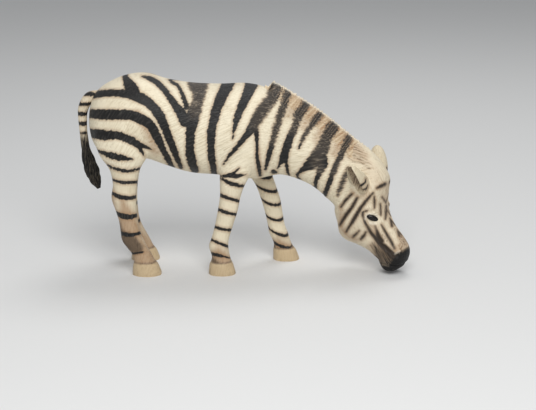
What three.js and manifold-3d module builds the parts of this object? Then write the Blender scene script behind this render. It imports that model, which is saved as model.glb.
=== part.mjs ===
// A grazing zebra figure, moulded in PVC at about 1:14 and painted.
// Two hollow trunk shells meet on the figure's mid plane. Four legs, the head, the ears, the mane and the
// tail are mouldings of their own, and each is glued on a peg, spigot or tongue that sets its pose.
// Units are millimetres. +X runs from tail to head, +Y to the figure's left, +Z up from the ground.
import * as THREE from "three";
import { mergeVertices } from "three/addons/utils/BufferGeometryUtils.js";
import Module from "manifold-3d";

const wasm = await Module();
wasm.setup();

// Fits between mouldings
const SEAM_GAP = 0.3;
const SHELL_WALL = 4;

// Mesh fineness
const TRUNK_SIDES = 28;
const LIMB_SIDES = 16;
const HEAD_SIDES = 24;
const SMALL_SIDES = 12;

// Locating pins on the rim of the right shell
const PIN_RADIUS = 1.1;
const PIN_LENGTH = 3;

// Legs: where they plug in, and their oval pegs
const FORE_SEAM_Z = 42.5;
const HIND_SEAM_Z = 50;
const FORE_STANCE = 11.5;
const HIND_STANCE = 12;
const PEG_LONG_RADIUS = 3;
const PEG_WIDE_RADIUS = 2.4;
const PEG_LENGTH = 6.5;

// Neck end, where the head is glued on
const NECK_END_X = 47.6;
const NECK_END_Z = 43.4;
const NECK_END_DROP_DEG = 29;
const SPIGOT_TALL_RADIUS = 8.5;
const SPIGOT_WIDE_RADIUS = 4.8;
const SPIGOT_LENGTH = 6;
const HEAD_TURN_DEG = 28;

// Mane
const MANE_RISE = 4.6;
const MANE_SUNK = 2.2;
const MANE_HALF_WIDTH = 5.2;
const MANE_LOCKS = 15;
const MANE_START_LOCKS = 3;
const MANE_LOCK_RELIEF = 0.35;
const TONGUE_DEPTH = 2.2;
const TONGUE_HALF_WIDTH = 1;

// Ears: the right one droops outwards, the left one stands up. Directions are those of the left side.
const EAR_LENGTH = 15;
const EAR_HALF_WIDTH = 4.3;
const EAR_HALF_THICKNESS = 3;
const EAR_WALL = 1;
const EAR_PEG_RADIUS = 1.3;
const EAR_PEG_LENGTH = 3.2;
const EAR_PEG_OVERLAP = 2;
const EAR_BASE = new THREE.Vector3(10.2, 8.6, -1);
const RIGHT_EAR = {
  side: -1,
  points: new THREE.Vector3(-2, 10.2, 10.8),
  opens: new THREE.Vector3(-0.55, 0.68, -0.5),
};
const LEFT_EAR = {
  side: 1,
  points: new THREE.Vector3(-3.4, 3.9, 14.8),
  opens: new THREE.Vector3(-0.5, 1, -0.2),
};

// Face
const EYE_PLACE = new THREE.Vector3(14.3, 7.3, -16);
const EYE_RADIUS = 2;
const NOSTRIL_PLACE = new THREE.Vector3(25.6, 6, -32.4);
const NOSTRIL_RADIUS = 1.3;
const MOUTH_DEPTH = 0.8;
const MOUTH_HALF_HEIGHT = 0.35;

// Tail
const TAIL_PEG_RADIUS = 1.8;
const TAIL_PEG_LENGTH = 5;

// Trunk and neck: the outline along the back and along the belly, and the half width between them.
const TRUNK = [
  { top: [-73.2, 76.6], bottom: [-73.6, 66.5], half: 5.5 },
  { top: [-71.2, 82.4], bottom: [-72, 60.5], half: 11 },
  { top: [-66, 87.1], bottom: [-68, 55.5], half: 16 },
  { top: [-57, 91.1], bottom: [-59, 53], half: 18.4 },
  { top: [-47.5, 92.1], bottom: [-48, 53], half: 19 },
  { top: [-38, 89.4], bottom: [-38, 49.6], half: 19.4 },
  { top: [-27, 87.6], bottom: [-27, 46.4], half: 20 },
  { top: [-14, 87], bottom: [-14, 45.2], half: 19.8 },
  { top: [-2, 87.4], bottom: [-3, 43.6], half: 18.6 },
  { top: [7, 85.6], bottom: [3.5, 43.2], half: 17 },
  { top: [14, 82], bottom: [8.5, 44.2], half: 15 },
  { top: [22.3, 76.6], bottom: [14, 45], half: 13 },
  { top: [31.1, 70.6], bottom: [20.6, 43.4], half: 11.6 },
  { top: [39.5, 63.8], bottom: [28.4, 39.8], half: 10.6 },
  { top: [47.5, 57.2], bottom: [36, 33.6], half: 10 },
  { top: [57, 50], bottom: [44, 26], half: 9.6 },
];
const HOLLOW_FIRST_INDEX = 3;
const HOLLOW_END_INDEX = 13;
const MANE_FIRST_INDEX = 9;

// Fore limb: half length fore and aft, half width, and the x of the right and the left limb at each height.
// Rows inside the trunk lean in from the stance towards the mid plane.
const FORE_LIMB = [
  { z: 0, long: 6.4, wide: 5.4, right: -12.9, left: 17.3 },
  { z: 4.6, long: 5.5, wide: 4.8, right: -13.3, left: 16.4 },
  { z: 6.2, long: 4.7, wide: 4.2, right: -13.3, left: 15.9 },
  { z: 8.6, long: 4.2, wide: 3.8, right: -13.5, left: 15.2 },
  { z: 13.3, long: 4.5, wide: 4.1, right: -14.5, left: 13.4 },
  { z: 17, long: 4.1, wide: 3.7, right: -13.7, left: 12.4 },
  { z: 23, long: 4.2, wide: 3.7, right: -12, left: 11.2 },
  { z: 30, long: 4.6, wide: 4.3, right: -10.2, left: 9.6 },
  { z: 37, long: 4.8, wide: 4.3, right: -8.9, left: 7.2 },
  { z: 43, long: 5.9, wide: 4.9, right: -7.8, left: 4.4 },
  { z: 52, long: 8.4, wide: 6.2, right: -5.2, left: 2, lean: 0.5 },
  { z: 62, long: 10.5, wide: 8, right: -1, left: 1, lean: 2 },
  { z: 75, long: 8, wide: 5.5, right: 1.5, left: 1.5, lean: 5 },
];

// Hind limb, in the same way. The hock is the rearward bend at mid height.
const HIND_LIMB = [
  { z: 0, long: 7, wide: 5.8, right: -47.8, left: -50.6 },
  { z: 4.6, long: 5.9, wide: 5, right: -48.4, left: -51.2 },
  { z: 6.4, long: 4.9, wide: 4.4, right: -48.9, left: -51.7 },
  { z: 10, long: 4.5, wide: 4, right: -50.3, left: -53 },
  { z: 15.6, long: 5, wide: 4.2, right: -53.8, left: -56.4 },
  { z: 19.5, long: 4.6, wide: 3.9, right: -55, left: -57.6 },
  { z: 25, long: 4.4, wide: 3.7, right: -55.8, left: -58.2 },
  { z: 30, long: 4.8, wide: 4, right: -56.7, left: -58.8 },
  { z: 36.5, long: 5.7, wide: 4.4, right: -57.7, left: -59.4 },
  { z: 43, long: 5.6, wide: 4.6, right: -57, left: -58.2 },
  { z: 50, long: 7, wide: 5.3, right: -57, left: -57.6 },
  { z: 57, long: 11, wide: 6.6, right: -57.4, left: -57.6 },
  { z: 67, long: 13.5, wide: 7.8, right: -57, left: -57, lean: 1.6 },
  { z: 79, long: 9, wide: 5.5, right: -56, left: -56, lean: 5 },
];

// Head, in its own frame at the neck end: outline of face and jaw, half width, and height of the widest line.
const HEAD = [
  { top: [0.9, 17.6], bottom: [-15, -10.3], half: 9, widest: 0.5 },
  { top: [7.9, 14], bottom: [-8, -14.2], half: 9.2, widest: 0.5 },
  { top: [13.9, 8.5], bottom: [-7.6, -17.6], half: 10, widest: 0.52 },
  { top: [18, 1.9], bottom: [-6.1, -22.6], half: 10.4, widest: 0.56 },
  { top: [17.6, -4.4], bottom: [-4.4, -26.6], half: 10.2, widest: 0.6 },
  { top: [17.4, -11], bottom: [-1, -28.8], half: 9.4, widest: 0.64 },
  { top: [19.4, -17.3], bottom: [4, -30.2], half: 8.2, widest: 0.6 },
  { top: [23.6, -23], bottom: [10.2, -33.2], half: 7.2, widest: 0.54 },
  { top: [27.4, -28], bottom: [14.4, -37.4], half: 7.2, widest: 0.55 },
  { top: [29.2, -32.2], bottom: [16.8, -40.6], half: 7, widest: 0.5 },
  { top: [28.4, -36.8], bottom: [19.2, -42.2], half: 5.8, widest: 0.5 },
  { top: [26.2, -40], bottom: [22.2, -42.4], half: 3.2, widest: 0.5 },
];
const HEAD_HOLLOW_FIRST_INDEX = 2;
const HEAD_HOLLOW_END_INDEX = 7;
const MOUTH_LINE = [
  [13.6, -36.4],
  [20, -38.1],
  [28.5, -38.2],
];

// Tail: path of its middle line and its radius, from the dock to the end of the tuft.
const TAIL = [
  { at: [-68, 81.8], radius: 2.6 },
  { at: [-73.5, 80.8], radius: 2.6 },
  { at: [-76.6, 75.6], radius: 2.3 },
  { at: [-77, 68], radius: 1.8 },
  { at: [-76.2, 58], radius: 1.8 },
  { at: [-74.6, 50], radius: 2.7 },
  { at: [-72.4, 43], radius: 2.5 },
  { at: [-70.6, 38], radius: 0.8 },
];

// Paint, as plain colours
const CREAM = new THREE.Color(0.86, 0.81, 0.69);
const MANE_BROWN = new THREE.Color(0.42, 0.32, 0.24);
const TUFT_BLACK = new THREE.Color(0.09, 0.08, 0.08);
const PVC = { roughness: 0.55, metalness: 0 };

// Solids

// A closed geometry as a solid, with its faces turned outwards.
function solid(geometry) {
  const bare = geometry.clone();
  bare.deleteAttribute("normal");
  bare.deleteAttribute("uv");
  const merged = mergeVertices(bare, 1e-4);
  const made = new wasm.Manifold(
    new wasm.Mesh({
      numProp: 3,
      vertProperties: new Float32Array(merged.attributes.position.array),
      triVerts: new Uint32Array(merged.index.array),
    }),
  );
  if (made.volume() > 0) return made;
  const turned = new Uint32Array(merged.index.array).reverse();
  return new wasm.Manifold(
    new wasm.Mesh({
      numProp: 3,
      vertProperties: new Float32Array(merged.attributes.position.array),
      triVerts: turned,
    }),
  );
}

// A named mesh of a solid, in its paint.
function piece(name, body, color) {
  const mesh = body.getMesh();
  const geometry = new THREE.BufferGeometry();
  const positions = new THREE.BufferAttribute(new Float32Array(mesh.vertProperties), mesh.numProp);
  geometry.setAttribute("position", positions);
  geometry.setIndex(new THREE.BufferAttribute(mesh.triVerts, 1));
  const made = new THREE.Mesh(geometry, new THREE.MeshStandardMaterial({ color, ...PVC }));
  made.name = name;
  return made;
}

// A section is two opposite edge points, the half width across them, and the share of the way from
// the second point to the first at which it is widest.
function section(a, b, half, widest = 0.5) {
  return { a, b, half, widest };
}

// The same sections drawn in by a distance all round, or let out by a negative one.
function offset(sections, distance) {
  return sections.map(({ a, b, half, widest }) => {
    const step = a.clone().sub(b).setLength(distance);
    return section(a.clone().sub(step), b.clone().add(step), half - distance, widest);
  });
}

// A closed skin carried smoothly through sections. Each ring is a superellipse whose two halves, on
// either side of its widest line, have their own heights.
function loft(sections, sides, ringsPerSpan = 2, power = 2.2) {
  const tops = new THREE.CatmullRomCurve3(sections.map((s) => s.a));
  const bottoms = new THREE.CatmullRomCurve3(sections.map((s) => s.b));
  const widths = new THREE.CatmullRomCurve3(sections.map((s) => new THREE.Vector3(s.half, s.widest, 0)));
  const across = new THREE.Vector3(0, 1, 0);
  const rings = (sections.length - 1) * ringsPerSpan;
  const rounded = (v) => Math.sign(v) * Math.abs(v) ** (2 / power);
  const points = [];
  for (let r = 0; r <= rings; r++) {
    const a = tops.getPoint(r / rings);
    const b = bottoms.getPoint(r / rings);
    const { x: half, y: widest } = widths.getPoint(r / rings);
    const rise = a.clone().sub(b);
    const middle = b.clone().addScaledVector(rise, widest);
    for (let k = 0; k < sides; k++) {
      const angle = (2 * Math.PI * k) / sides;
      const up = rounded(Math.cos(angle));
      const share = up > 0 ? 1 - widest : widest;
      const point = middle.clone().addScaledVector(rise, up * share);
      points.push(point.addScaledVector(across, half * rounded(Math.sin(angle))));
    }
  }
  const index = [];
  for (let r = 0; r < rings; r++) {
    for (let k = 0; k < sides; k++) {
      const next = (k + 1) % sides;
      const [p, q] = [r * sides + k, r * sides + next];
      index.push(p, q, p + sides, q, q + sides, p + sides);
    }
  }
  for (const first of [0, rings * sides]) {
    const ring = points.slice(first, first + sides);
    const middle = ring.reduce((sum, p) => sum.add(p), new THREE.Vector3()).divideScalar(sides);
    const centre = points.push(middle) - 1;
    for (let k = 0; k < sides; k++) {
      const edge = [first + k, first + ((k + 1) % sides)];
      index.push(centre, ...(first ? edge : edge.reverse()));
    }
  }
  const geometry = new THREE.BufferGeometry().setFromPoints(points);
  geometry.setIndex(index);
  return solid(geometry);
}

// An oval peg from a base point along a direction, with a lead-in taper at its far end.
function peg(base, direction, length, longRadius, wideRadius, taper = 0.9) {
  const geometry = new THREE.CylinderGeometry(taper, 1, length, SMALL_SIDES);
  geometry.translate(0, length / 2, 0);
  geometry.scale(longRadius, 1, wideRadius);
  const along = direction.clone().normalize();
  const side = new THREE.Vector3(0, 1, 0);
  const long = new THREE.Vector3().crossVectors(along, side).normalize();
  const wide = new THREE.Vector3().crossVectors(long, along);
  geometry.applyMatrix4(new THREE.Matrix4().makeBasis(long, along, wide).setPosition(base));
  return solid(geometry);
}

function union(...bodies) {
  return bodies.reduce((sum, body) => sum.add(body));
}

// The part of a body on the positive side of a plane through a point.
function beyond(body, point, normal) {
  const n = normal.clone().normalize();
  return body.trimByPlane(n.toArray(), n.dot(point));
}

const UP = new THREE.Vector3(0, 0, 1);
const DOWN = new THREE.Vector3(0, 0, -1);

// Legs

const LIMBS = ["right", "left"].flatMap((side) => [
  { name: `${side}_fore_leg`, rows: FORE_LIMB, side, stance: FORE_STANCE, seam: FORE_SEAM_Z },
  { name: `${side}_hind_leg`, rows: HIND_LIMB, side, stance: HIND_STANCE, seam: HIND_SEAM_Z },
]);

// A whole limb from its sole up into the trunk.
function wholeLimb({ rows, side, stance }) {
  const outward = side === "left" ? 1 : -1;
  const sections = rows.map((row) => {
    const x = row[side];
    const y = outward * (stance - (row.lean ?? 0));
    const front = new THREE.Vector3(x + row.long, y, row.z);
    return section(front, new THREE.Vector3(x - row.long, y, row.z), row.wide);
  });
  return loft(sections, LIMB_SIDES);
}

// The middle of a limb where its leg plugs in, read between the two rows on either side of the seam.
function seamPoint({ rows, side, stance, seam }) {
  const above = rows.findIndex((row) => row.z > seam);
  const [low, high] = [rows[above - 1], rows[above]];
  const share = (seam - low.z) / (high.z - low.z);
  const x = low[side] + (high[side] - low[side]) * share;
  return new THREE.Vector3(x, side === "left" ? stance : -stance, seam);
}

function leg(limb) {
  const point = seamPoint(limb);
  const below = beyond(wholeLimb(limb), point.clone().addScaledVector(DOWN, SEAM_GAP), DOWN);
  const base = point.clone().addScaledVector(DOWN, PEG_LENGTH / 2);
  return below.add(peg(base, UP, PEG_LENGTH * 1.5, PEG_LONG_RADIUS, PEG_WIDE_RADIUS));
}

function legSocket(limb) {
  const base = seamPoint(limb).addScaledVector(DOWN, PEG_LENGTH / 2);
  const length = PEG_LENGTH * 1.5 + SEAM_GAP;
  return peg(base, UP, length, PEG_LONG_RADIUS + SEAM_GAP, PEG_WIDE_RADIUS + SEAM_GAP);
}

// Trunk shells

const trunkSections = TRUNK.map(({ top, bottom, half }) => {
  return section(new THREE.Vector3(top[0], 0, top[1]), new THREE.Vector3(bottom[0], 0, bottom[1]), half);
});
const neckEnd = new THREE.Vector3(NECK_END_X, 0, NECK_END_Z);
const neckDrop = THREE.MathUtils.degToRad(NECK_END_DROP_DEG);
const neckAxis = new THREE.Vector3(Math.cos(neckDrop), 0, -Math.sin(neckDrop));

function headSpigot(clearance) {
  const base = neckEnd.clone().addScaledVector(neckAxis, -SPIGOT_LENGTH / 2);
  const length = SPIGOT_LENGTH * 1.5 + clearance;
  return peg(base, neckAxis, length, SPIGOT_TALL_RADIUS + clearance, SPIGOT_WIDE_RADIUS + clearance);
}

// The mane's tongue: a thin plate along the crest, half of it in a rebate of each shell.
function maneTongue(clearance) {
  const sections = trunkSections.slice(MANE_FIRST_INDEX).map(({ a, b }) => {
    const rise = a.clone().sub(b).normalize();
    const foot = a.clone().addScaledVector(rise, -TONGUE_DEPTH - clearance);
    return section(a.clone().addScaledVector(rise, 1), foot, TONGUE_HALF_WIDTH + clearance);
  });
  return loft(sections, SMALL_SIDES, 2, 6);
}

const tailPath = TAIL.map(({ at }) => new THREE.Vector3(at[0], 0, at[1]));

function tailPeg(clearance) {
  const inward = tailPath[0].clone().sub(tailPath[1]);
  const radius = TAIL_PEG_RADIUS + clearance;
  return peg(tailPath[1], inward, inward.length() + TAIL_PEG_LENGTH / 2 + clearance, radius, radius);
}

// Middles of the rim's wall on the mid plane, along the back and the belly, where the pins stand.
const PIN_SECTIONS = [4, 6, 8, 12];
const pinPlaces = PIN_SECTIONS.flatMap((i) => {
  const [drawnIn] = offset([trunkSections[i]], SHELL_WALL * 0.55);
  return i > MANE_FIRST_INDEX ? [drawnIn.b] : [drawnIn.a, drawnIn.b];
});

function rimPins(clearance) {
  const across = new THREE.Vector3(0, 1, 0);
  const radius = PIN_RADIUS + clearance;
  const pins = pinPlaces.map((place) => {
    const geometry = new THREE.CylinderGeometry(radius, radius, 1, SMALL_SIDES);
    geometry.scale(1, 2 * (PIN_LENGTH + clearance), 1);
    geometry.translate(place.x, 0, place.z);
    return solid(geometry);
  });
  return beyond(union(...pins), across.clone().multiplyScalar(-PIN_LENGTH / 2), across);
}

function trunkShells() {
  const skin = beyond(loft(trunkSections, TRUNK_SIDES), neckEnd, neckAxis.clone().negate());
  const haunches = LIMBS.map((limb) => beyond(wholeLimb(limb), seamPoint(limb), UP));
  const hollowRows = offset(trunkSections, SHELL_WALL).slice(HOLLOW_FIRST_INDEX, HOLLOW_END_INDEX);
  const hollow = loft(hollowRows, TRUNK_SIDES / 2);
  const sockets = union(...LIMBS.map(legSocket), maneTongue(SEAM_GAP), tailPeg(SEAM_GAP));
  const whole = union(skin, ...haunches, headSpigot(0)).subtract(hollow).subtract(sockets);
  const toLeft = new THREE.Vector3(0, 1, 0);
  const toRight = toLeft.clone().negate();
  const right = beyond(whole, toRight.clone().multiplyScalar(SEAM_GAP / 2), toRight);
  const left = beyond(whole, toLeft.clone().multiplyScalar(SEAM_GAP / 2), toLeft);
  return { right: right.add(rimPins(0)), left: left.subtract(rimPins(SEAM_GAP)) };
}

// Mane: a ridge of upright locks along the crest, cut to the crest below, on its tongue. Its sides draw in
// from a broad foot to a narrow top, and it grows over its first locks at the withers.
function mane() {
  const arch = 1.35;
  const crest = trunkSections.slice(MANE_FIRST_INDEX);
  const tops = new THREE.CatmullRomCurve3(crest.map((s) => s.a));
  const bottoms = new THREE.CatmullRomCurve3(crest.map((s) => s.b));
  const sections = [];
  for (let i = 0; i <= 2 * MANE_LOCKS; i++) {
    const t = i / (2 * MANE_LOCKS);
    const a = tops.getPoint(t);
    const rise = a.clone().sub(bottoms.getPoint(t)).normalize();
    const grown = Math.min(1, (i + 1) / (2 * MANE_START_LOCKS));
    const height = MANE_RISE * grown - (i % 2) * MANE_LOCK_RELIEF;
    const top = a.clone().addScaledVector(rise, height);
    const foot = a.clone().addScaledVector(rise, -MANE_SUNK);
    sections.push(section(top, foot, MANE_HALF_WIDTH * Math.sqrt(grown), MANE_SUNK / (MANE_SUNK + height)));
  }
  const crestSkin = loft(offset(trunkSections, -SEAM_GAP), TRUNK_SIDES);
  const ridge = loft(sections, SMALL_SIDES, 1, arch).subtract(crestSkin);
  const strip = union(ridge, maneTongue(0));
  return beyond(strip, neckEnd.clone().addScaledVector(neckAxis, -SEAM_GAP), neckAxis.clone().negate());
}

// Head

const headPlace = new THREE.Group();
headPlace.position.copy(neckEnd);
headPlace.rotation.z = -THREE.MathUtils.degToRad(HEAD_TURN_DEG);
headPlace.updateMatrix();
const toHead = headPlace.matrix.clone().invert();

// A solid of the trunk's frame, seen from the head's.
function inHead(body) {
  return body.transform(toHead.elements);
}

const headSections = HEAD.map(({ top, bottom, half, widest }) => {
  const face = new THREE.Vector3(top[0], 0, top[1]);
  return section(face, new THREE.Vector3(bottom[0], 0, bottom[1]), half, widest);
});
const headSkin = loft(headSections, HEAD_SIDES);

// A ball at a place on one side of the head.
function ball(place, side, radius, squash = [1, 1, 1]) {
  const geometry = new THREE.SphereGeometry(radius, SMALL_SIDES, SMALL_SIDES / 2);
  geometry.scale(...squash);
  geometry.translate(place.x, side * place.y, place.z);
  return solid(geometry);
}

// The mouth's slit, cut from the sides round the front of the lips.
function mouthSlit() {
  const half = Math.max(...HEAD.map((row) => row.half));
  const sections = MOUTH_LINE.map(([x, z]) => {
    const top = new THREE.Vector3(x, 0, z + MOUTH_HALF_HEIGHT);
    return section(top, new THREE.Vector3(x, 0, z - MOUTH_HALF_HEIGHT), half);
  });
  return loft(sections, SMALL_SIDES, 2, 4).subtract(loft(offset(headSections, MOUTH_DEPTH), HEAD_SIDES));
}

function head() {
  const sides = [-1, 1];
  const eyes = sides.map((side) => ball(EYE_PLACE, side, EYE_RADIUS, [1.3, 0.8, 0.65]));
  const nostrils = sides.map((side) => ball(NOSTRIL_PLACE, side, NOSTRIL_RADIUS, [0.8, 1, 1.3]));
  const earHoles = [RIGHT_EAR, LEFT_EAR].map((shape) => earPeg(shape, SEAM_GAP));
  const hollowRows = offset(headSections, SHELL_WALL).slice(HEAD_HOLLOW_FIRST_INDEX, HEAD_HOLLOW_END_INDEX);
  const hollow = loft(hollowRows, HEAD_SIDES / 2);
  const socket = inHead(headSpigot(SEAM_GAP));
  const cuts = union(...nostrils, ...earHoles, hollow, socket, mouthSlit());
  const whole = union(headSkin, ...eyes).subtract(cuts);
  const seat = neckEnd.clone().addScaledVector(neckAxis, SEAM_GAP).applyMatrix4(toHead);
  return beyond(whole, seat, neckAxis.clone().transformDirection(toHead));
}

// Ears

function earFrame({ side, points, opens }) {
  const mirror = new THREE.Vector3(1, side, 1);
  const along = points.clone().multiply(mirror).normalize();
  const across = new THREE.Vector3().crossVectors(along, opens.clone().multiply(mirror)).normalize();
  const front = new THREE.Vector3().crossVectors(across, along);
  const frame = new THREE.Matrix4().makeBasis(front, across, along);
  return frame.setPosition(EAR_BASE.clone().multiply(mirror));
}

function earPeg({ side, points }, clearance) {
  const mirror = new THREE.Vector3(1, side, 1);
  const inward = points.clone().multiply(mirror).negate().normalize();
  const base = EAR_BASE.clone().multiply(mirror).addScaledVector(inward, -EAR_PEG_OVERLAP);
  const radius = EAR_PEG_RADIUS + clearance;
  return peg(base, inward, EAR_PEG_OVERLAP + EAR_PEG_LENGTH + clearance, radius, radius, 1);
}

// A cupped ear, widest at its rim, with its hollow open to the front, cut to the head below, on its peg.
function ear(shape) {
  const rim = 0.85;
  const cup = [
    { z: -1.5, wide: 0.6, thick: 0.75 },
    { z: 1.5, wide: 0.8, thick: 0.95 },
    { z: EAR_LENGTH * 0.3, wide: 0.97, thick: 1.05 },
    { z: EAR_LENGTH * 0.5, wide: 1, thick: 0.92 },
    { z: EAR_LENGTH * 0.7, wide: 0.88, thick: 0.7 },
    { z: EAR_LENGTH * 0.88, wide: 0.62, thick: 0.46 },
    { z: EAR_LENGTH, wide: 0.2, thick: 0.2 },
  ];
  const sections = cup.map(({ z, wide, thick }) => {
    const depth = EAR_HALF_THICKNESS * thick;
    const edge = new THREE.Vector3(depth, 0, z);
    return section(edge, new THREE.Vector3(-depth, 0, z), EAR_HALF_WIDTH * wide, rim);
  });
  const forward = new THREE.Vector3(EAR_WALL, 0, 0);
  const hollow = sections.slice(2).map(({ a, b, half }) => {
    const inside = Math.max(half - EAR_WALL, EAR_WALL / 2);
    return section(a.clone().add(forward), b.clone().add(forward), inside, rim);
  });
  const shell = loft(sections, SMALL_SIDES).subtract(loft(hollow, SMALL_SIDES));
  const placed = shell.transform(earFrame(shape).elements);
  const cut = placed.subtract(loft(offset(headSections, -SEAM_GAP), HEAD_SIDES));
  return cut.add(earPeg(shape, 0));
}

// Tail: a tapering dock that swells into a tuft, cut to the rump, on its peg.
function tail() {
  const curve = new THREE.CatmullRomCurve3(tailPath);
  const sections = TAIL.map(({ radius }, i) => {
    const t = curve.getTangent(i / (TAIL.length - 1));
    const out = new THREE.Vector3(-t.z, 0, t.x).setLength(radius);
    return section(tailPath[i].clone().add(out), tailPath[i].clone().sub(out), radius);
  });
  const rump = loft(offset(trunkSections, -SEAM_GAP), TRUNK_SIDES);
  return loft(sections, SMALL_SIDES).subtract(rump).add(tailPeg(0));
}

// Assembly

const figure = new THREE.Group();
const shells = trunkShells();
figure.add(piece("right_trunk_shell", shells.right, CREAM));
figure.add(piece("left_trunk_shell", shells.left, CREAM));
figure.add(piece("mane", mane(), MANE_BROWN));
for (const limb of LIMBS) figure.add(piece(limb.name, leg(limb), CREAM));
figure.add(piece("tail", tail(), TUFT_BLACK));
headPlace.add(piece("head", head(), CREAM));
headPlace.add(piece("right_ear", ear(RIGHT_EAR), CREAM));
headPlace.add(piece("left_ear", ear(LEFT_EAR), CREAM));
figure.add(headPlace);

// The part's origin is on the ground, under the middle of its box.
const box = new THREE.Box3().setFromObject(figure, true);
const middle = box.getCenter(new THREE.Vector3());
figure.position.set(-middle.x, -middle.y, 0);

export default figure;
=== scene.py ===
# %% [markdown]
# # A painted zebra figure
# The figure is a grazing zebra, about 15 cm long, moulded in PVC and painted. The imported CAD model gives
# its mouldings, their places and its size. This script gives each moulding its sculpted skin and its paint.
# Lengths below are millimetres in the figure's own frame: x from tail to head, y to its left, z up.

# %% Load the frame
import math

import bmesh
import bpy
import numpy as np
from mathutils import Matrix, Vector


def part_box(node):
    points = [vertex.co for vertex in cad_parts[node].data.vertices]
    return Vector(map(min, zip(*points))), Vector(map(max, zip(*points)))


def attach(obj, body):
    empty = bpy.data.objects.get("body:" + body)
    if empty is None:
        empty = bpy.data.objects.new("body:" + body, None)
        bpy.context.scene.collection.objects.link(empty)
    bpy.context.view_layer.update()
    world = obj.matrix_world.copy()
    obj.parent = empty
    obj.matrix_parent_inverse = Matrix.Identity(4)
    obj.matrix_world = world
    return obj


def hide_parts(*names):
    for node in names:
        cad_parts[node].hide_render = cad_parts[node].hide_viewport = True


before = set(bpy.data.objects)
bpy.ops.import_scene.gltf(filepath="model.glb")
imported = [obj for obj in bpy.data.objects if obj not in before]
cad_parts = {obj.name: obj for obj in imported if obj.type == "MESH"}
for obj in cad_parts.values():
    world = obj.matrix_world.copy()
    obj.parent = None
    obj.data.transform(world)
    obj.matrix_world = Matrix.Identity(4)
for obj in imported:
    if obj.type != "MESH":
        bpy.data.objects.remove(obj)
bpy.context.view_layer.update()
print("mouldings:", sorted(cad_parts))

# %% [markdown]
# ## The view
# The photograph looks at the figure's right side from a little above. The stripes are painted where that
# view shows them, so the camera comes first: the same few numbers place the camera and the brush strokes.

# %% Camera
PICTURE_SIZE = (536, 410)
PIXEL_MM = 0.469
CAMERA_DISTANCE = 620.0
CAMERA_ELEVATION = math.radians(15)
CAMERA_AIM = np.array([8.4, 0.0, 29.8])
SENSOR_WIDTH = 36.0

picture_right = np.array([1.0, 0.0, 0.0])
picture_up = np.array([0.0, math.sin(CAMERA_ELEVATION), math.cos(CAMERA_ELEVATION)])
picture_depth = np.array([0.0, math.cos(CAMERA_ELEVATION), -math.sin(CAMERA_ELEVATION)])
camera_place = CAMERA_AIM - CAMERA_DISTANCE * picture_depth


def picture(points):
    """Column and row of points: focal length times sideways and upward offset, each over the depth."""
    offset = points - camera_place
    focal = CAMERA_DISTANCE / PIXEL_MM / (offset @ picture_depth)
    column = PICTURE_SIZE[0] / 2 + focal * (offset @ picture_right)
    row = PICTURE_SIZE[1] / 2 - focal * (offset @ picture_up)
    return np.column_stack([column, row])


print("view: aim at", picture(CAMERA_AIM[None, :])[0])

# %% [markdown]
# ## Skins through sections
# A sculptor would block out an animal with egg-shaped sections along its back, its limbs and its face. Here
# a section is two opposite edge points in the side view, a half width and the height of its widest line. A
# smooth curve through each of those numbers carries the section along, which gives a grid of points: a
# skin. Sculpting by hand would do it too, but these numbers can be measured and changed one by one.

# %% Curves and lofts
SECTION_POWER = 2.2
RINGS_PER_ROW = 8


def once_round(steps):
    """Angles once round a circle, in equal steps."""
    return np.linspace(0, 2 * np.pi, steps, endpoint=False)


def spline(rows, per_span):
    """Catmull-Rom: from row b to c, between a and d, each column is b + t(c - a)/2
    + t^2 (a - 5b/2 + 2c - d/2) + t^3 ((d - a)/2 + 3(b - c)/2)."""
    rows = np.asarray(rows, float)
    padded = np.vstack([2 * rows[0] - rows[1], rows, 2 * rows[-1] - rows[-2]])
    a, b, c, d = (padded[i : len(padded) - 3 + i][:, None, :] for i in range(4))
    t = np.linspace(0, 1, per_span, endpoint=False)[None, :, None]
    inner = b + t * (c - a) / 2 + t**2 * (a - 2.5 * b + 2 * c - d / 2)
    inner = inner + t**3 * ((d - a) / 2 + 1.5 * (b - c))
    return np.vstack([inner.reshape(-1, rows.shape[1]), rows[-1]])


def loft(sections, sides):
    """Rings of superellipses through rows of (ax, az, bx, bz, half width, widest share, y): a ring point is
    the middle + (a - b) * share * up + across * half width * side, with up and side the rounded cosine and
    sine of the angle, and share the part of the height above or below the widest line."""
    rows = spline(sections, RINGS_PER_ROW)
    angle = once_round(sides)
    up = np.sign(np.cos(angle)) * np.abs(np.cos(angle)) ** (2 / SECTION_POWER)
    side = np.sign(np.sin(angle)) * np.abs(np.sin(angle)) ** (2 / SECTION_POWER)
    a, b, half, widest, y = rows[:, 0:2], rows[:, 2:4], rows[:, 4:5], rows[:, 5:6], rows[:, 6:7]
    share = np.where(up > 0, 1 - widest, widest)
    flat = (b + (a - b) * widest)[:, None, :] + (a - b)[:, None, :] * (up * share)[:, :, None]
    return np.dstack([flat[:, :, 0], y + half * side, flat[:, :, 1]])


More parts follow.
